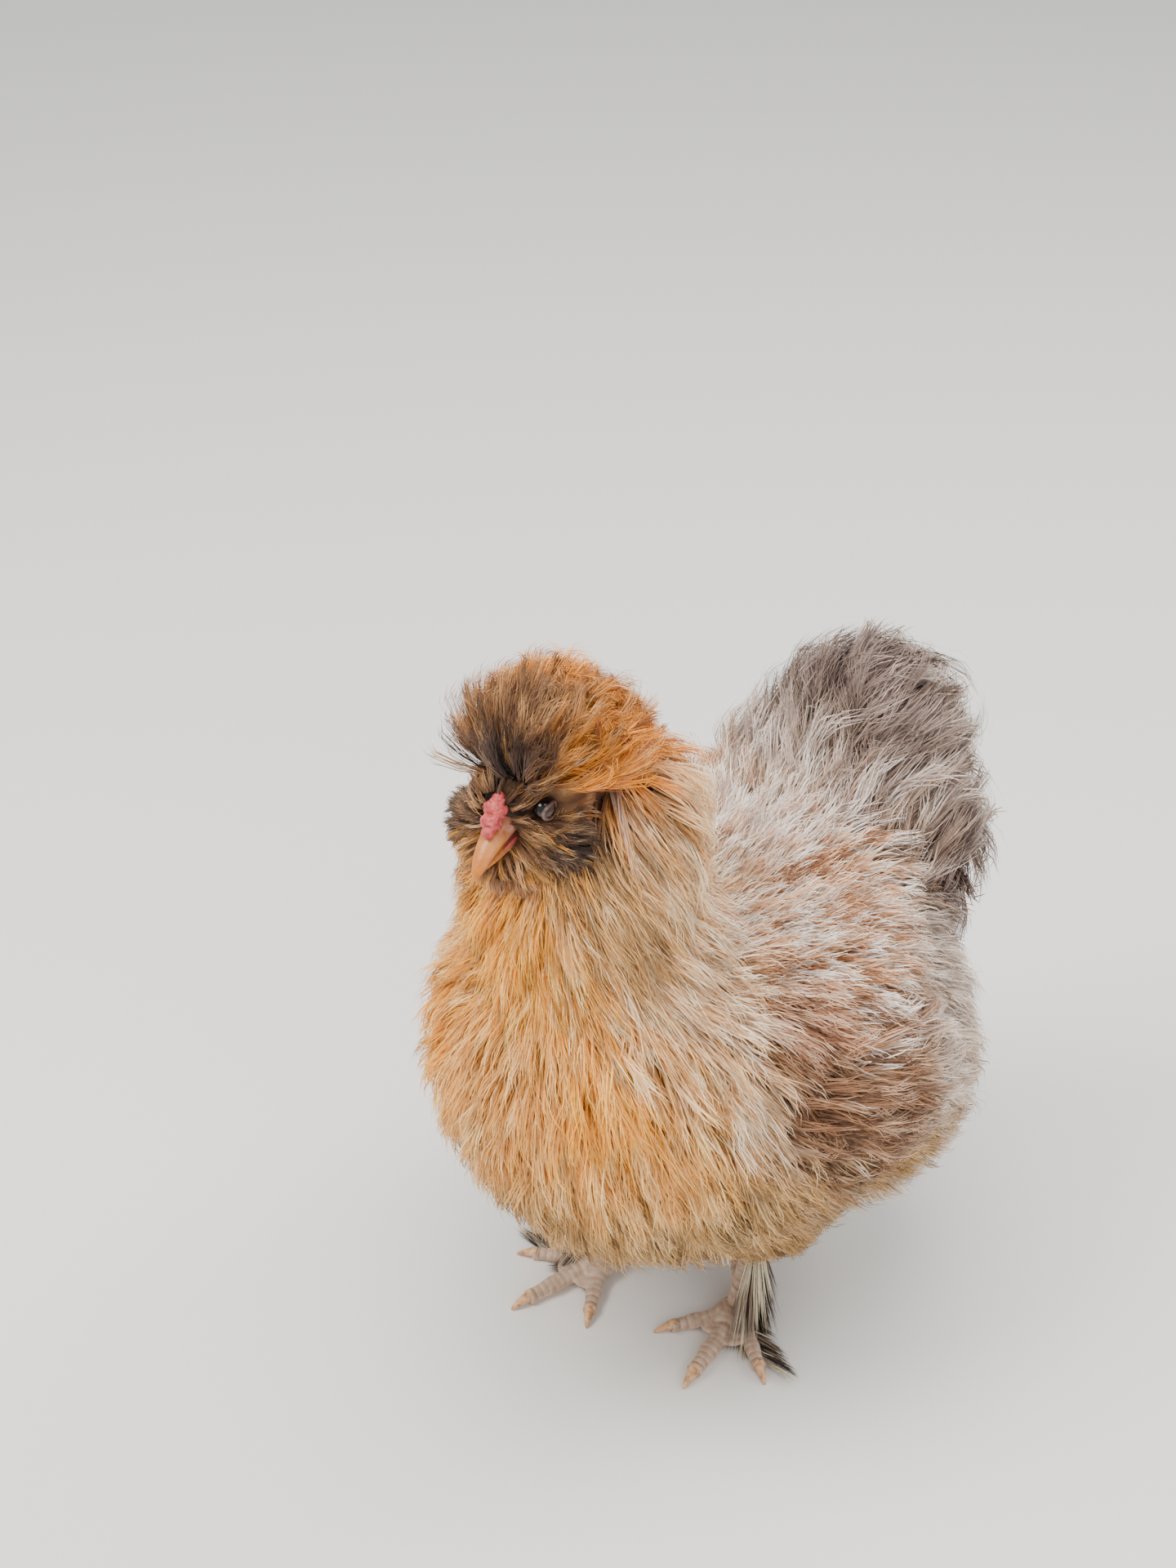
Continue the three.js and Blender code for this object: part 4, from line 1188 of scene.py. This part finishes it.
def make_claw(name, side_name, side, toe, material):
    along, across, over = toe_axes(side, toe)
    sides = 20

    def ring(t):
        size = toe["radius"] * 0.6 * math.sqrt(1 - 0.985 * t)
        centre = toe_point(side, toe, toe["length"] - 2) + along * toe["claw"] * t
        centre = centre + over * (1.1 * (1 - t) + 1.4 * math.sin(math.pi * t * 0.7) - 3.2 * t)
        centre[2] = max(centre[2], size)
        return ring_points(centre, across, over, size, size * 0.95, sides)

    claw = lofted(f"claw_horn_{name}_{side_name}", 18, sides, ring, material)
    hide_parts(f"claw_{name}_{side_name}")


# Boot feathers down the outer side of each shank and outer toe.
SHANK_LOCKS = 56
TOE_LOCKS = 20


def boot_strands(side, rng):
    """Boot feathers on the outer side of one shank and of its outer toe, as grow_strands gives them."""
    lines, flats, lock_ids, roots = [], [], [], []

    def add(lock, root, line, across, other):
        lines.append(line)
        flats.append([unit(across + other * rng.normal(0, 0.4))] * len(STRAND_STEPS))
        lock_ids.append(lock)
        roots.append(root)

    for lock in range(SHANK_LOCKS):
        t = rng.uniform(0.02, 0.52)
        turn = math.radians(rng.uniform(-75, 60))
        outward = np.array([side * math.cos(turn), math.sin(turn), 0.0])
        root = shank_point(side, t, 8) + outward * 4.6
        heading = unit(outward * 0.28 + np.array([side * 0.12, -0.3, -0.9]))
        long = rng.uniform(22, 38)
        across = unit(np.cross(outward, heading))
        for _ in range(16):
            own = rng.normal(0, 1.0, 2)
            share = rng.uniform(0.6, 1.05)
            line = []
            for s in STRAND_STEPS:
                off = outward * (3.0 * s * s + own[0] * 0.7 * s) + across * own[1] * (0.5 + 0.9 * s)
                p = root + heading * long * share * s + off
                p[2] = max(p[2], 0.8)
                line.append(p)
            add(lock, root, line, across, outward)
    toe = TOES["outer"]
    along, _, _ = toe_axes(side, toe)
    aside = unit(np.array([side * 0.9, 0.45, 0.0]))
    heading = unit(aside * 0.8 + along * 0.45 + UP * 0.06)
    for lock in range(SHANK_LOCKS, SHANK_LOCKS + TOE_LOCKS):
        root = toe_point(side, toe, rng.uniform(4, 28)) + aside * 2.6 + UP * 0.6
        long = rng.uniform(12, 22)
        for _ in range(14):
            own = rng.normal(0, 1.0, 2)
            line = []
            for s in STRAND_STEPS:
                off = along * own[0] * 1.6 * s + UP * (own[1] * 0.8 * s - 2.2 * s * s)
                p = root + heading * long * s + off
                p[2] = max(p[2], 0.5 + 0.4 * s)
                line.append(p)
            add(lock, root, line, along, UP)
    by_step = (1, 0, 2)
    return np.transpose(lines, by_step), np.transpose(flats, by_step), np.array(lock_ids), np.array(roots)


BOOT_TONES = [linear("#8f7b66"), linear("#d9c9aa"), linear("#2e241d"), linear("#5a4a3e")]


def make_boots(material):
    for side_name, side in SIDES:
        rng = np.random.default_rng(90 + side)
        lines, flats, lock, roots = boot_strands(side, rng)
        tones = np.array(BOOT_TONES)[rng.integers(0, len(BOOT_TONES), lock.max() + 1)[lock]]
        bright = rng.uniform(0.75, 1.2, len(lock))[:, None]
        # Each strand is darkened towards its root as painted shade, and is brighter at its tip.
        rows = [tones * bright * shade for shade in (0.6, 0.6, 0.85, 0.85, 1.0, 1.0, 1.05, 1.05, 1.1)]
        colours = np.clip(np.stack(rows, axis=1).reshape(-1, 3), 0, 1)
        wide = 0.62 * rng.uniform(0.7, 1.3, len(lock))
        strands = (lines, flats, wide, colours, roots)
        strand_mesh(f"boot_feathers_{side_name}", *strands, material, "body_feather")


def make_stage():
    """A plain pale floor, and an even pale light all round."""
    bpy.ops.mesh.primitive_plane_add(size=12)
    floor = bpy.context.object
    floor.name = "floor"
    floor.data.materials.append(surface("floor_paper_matte", None, Base_Color=rgba("#e9e6e0"), Roughness=0.9))
    world = bpy.data.worlds.new("studio")
    scene.world = world
    world.use_nodes = True
    background = world.node_tree.nodes["Background"]
    background.inputs["Color"].default_value = (0.93, 0.96, 1.0, 1.0)
    background.inputs["Strength"].default_value = 0.85


# The lights, in metres in the frame, all look at the middle of the body.
LIGHTS_AIM = (0, 0, 0.18)


def area_light(name, at, size, power, colour):
    data = bpy.data.lights.new(name, "AREA")
    data.shape = "DISK"
    data.size = size
    data.energy = power
    data.color = colour
    lamp = linked(name, data)
    lamp.location = at
    aim = Vector(LIGHTS_AIM) - Vector(at)
    lamp.rotation_euler = aim.to_track_quat("-Z", "Y").to_euler()


def make_lights():
    area_light("top_softbox", (0.1, -0.1, 1.9), 1.5, 30, (0.98, 0.99, 1.0))
    area_light("key_softbox", (-0.5, -0.9, 1.5), 0.9, 24, (1.0, 0.97, 0.92))
    area_light("fill_softbox", (1.5, -0.6, 1.2), 1.2, 10, (0.93, 0.96, 1.0))
    area_light("rim_softbox", (0.6, 1.4, 1.3), 0.8, 13, (1.0, 0.98, 0.95))


# The camera stands where the photographer's did: high off the hen's left shoulder, looking 33 degrees down.
CAMERA = {"at": (510.8, -574.3, 778.7), "look": (-0.5826, 0.6033, -0.5446), "lens": 54.07}


def make_camera():
    data = bpy.data.cameras.new("camera")
    data.lens = CAMERA["lens"]
    data.sensor_width = 36
    data.clip_start = 0.01
    camera = linked("camera", data)
    camera.location = placed([CAMERA["at"]])[0]
    camera.rotation_euler = Vector(CAMERA["look"]).to_track_quat("-Z", "Y").to_euler()
    scene.camera = camera


make_camera()
make_stage()
make_lights()
make_skin()
grow_coat()
horn = bill_material()
bill_half("upper", horn)
bill_half("lower", horn)
comb_flesh = comb_material()
mouth_corner(comb_flesh)
make_comb(comb_flesh)
make_eyes(iris_material(), lid_material())
make_earlobes(lobe_material())
leg_skin = scale_material()
claw_horn = claw_material()
boot_down = down_material("boot_feather_stiff")
for name_of_side, sign in SIDES:
    make_foot(name_of_side, sign, leg_skin)
    make_shank(name_of_side, sign, leg_skin)
    make_claw("fifth", name_of_side, sign, FIFTH, claw_horn)
    for toe_name, toe_sizes in TOES.items():
        make_claw(toe_name, name_of_side, sign, toe_sizes, claw_horn)
make_boots(boot_down)
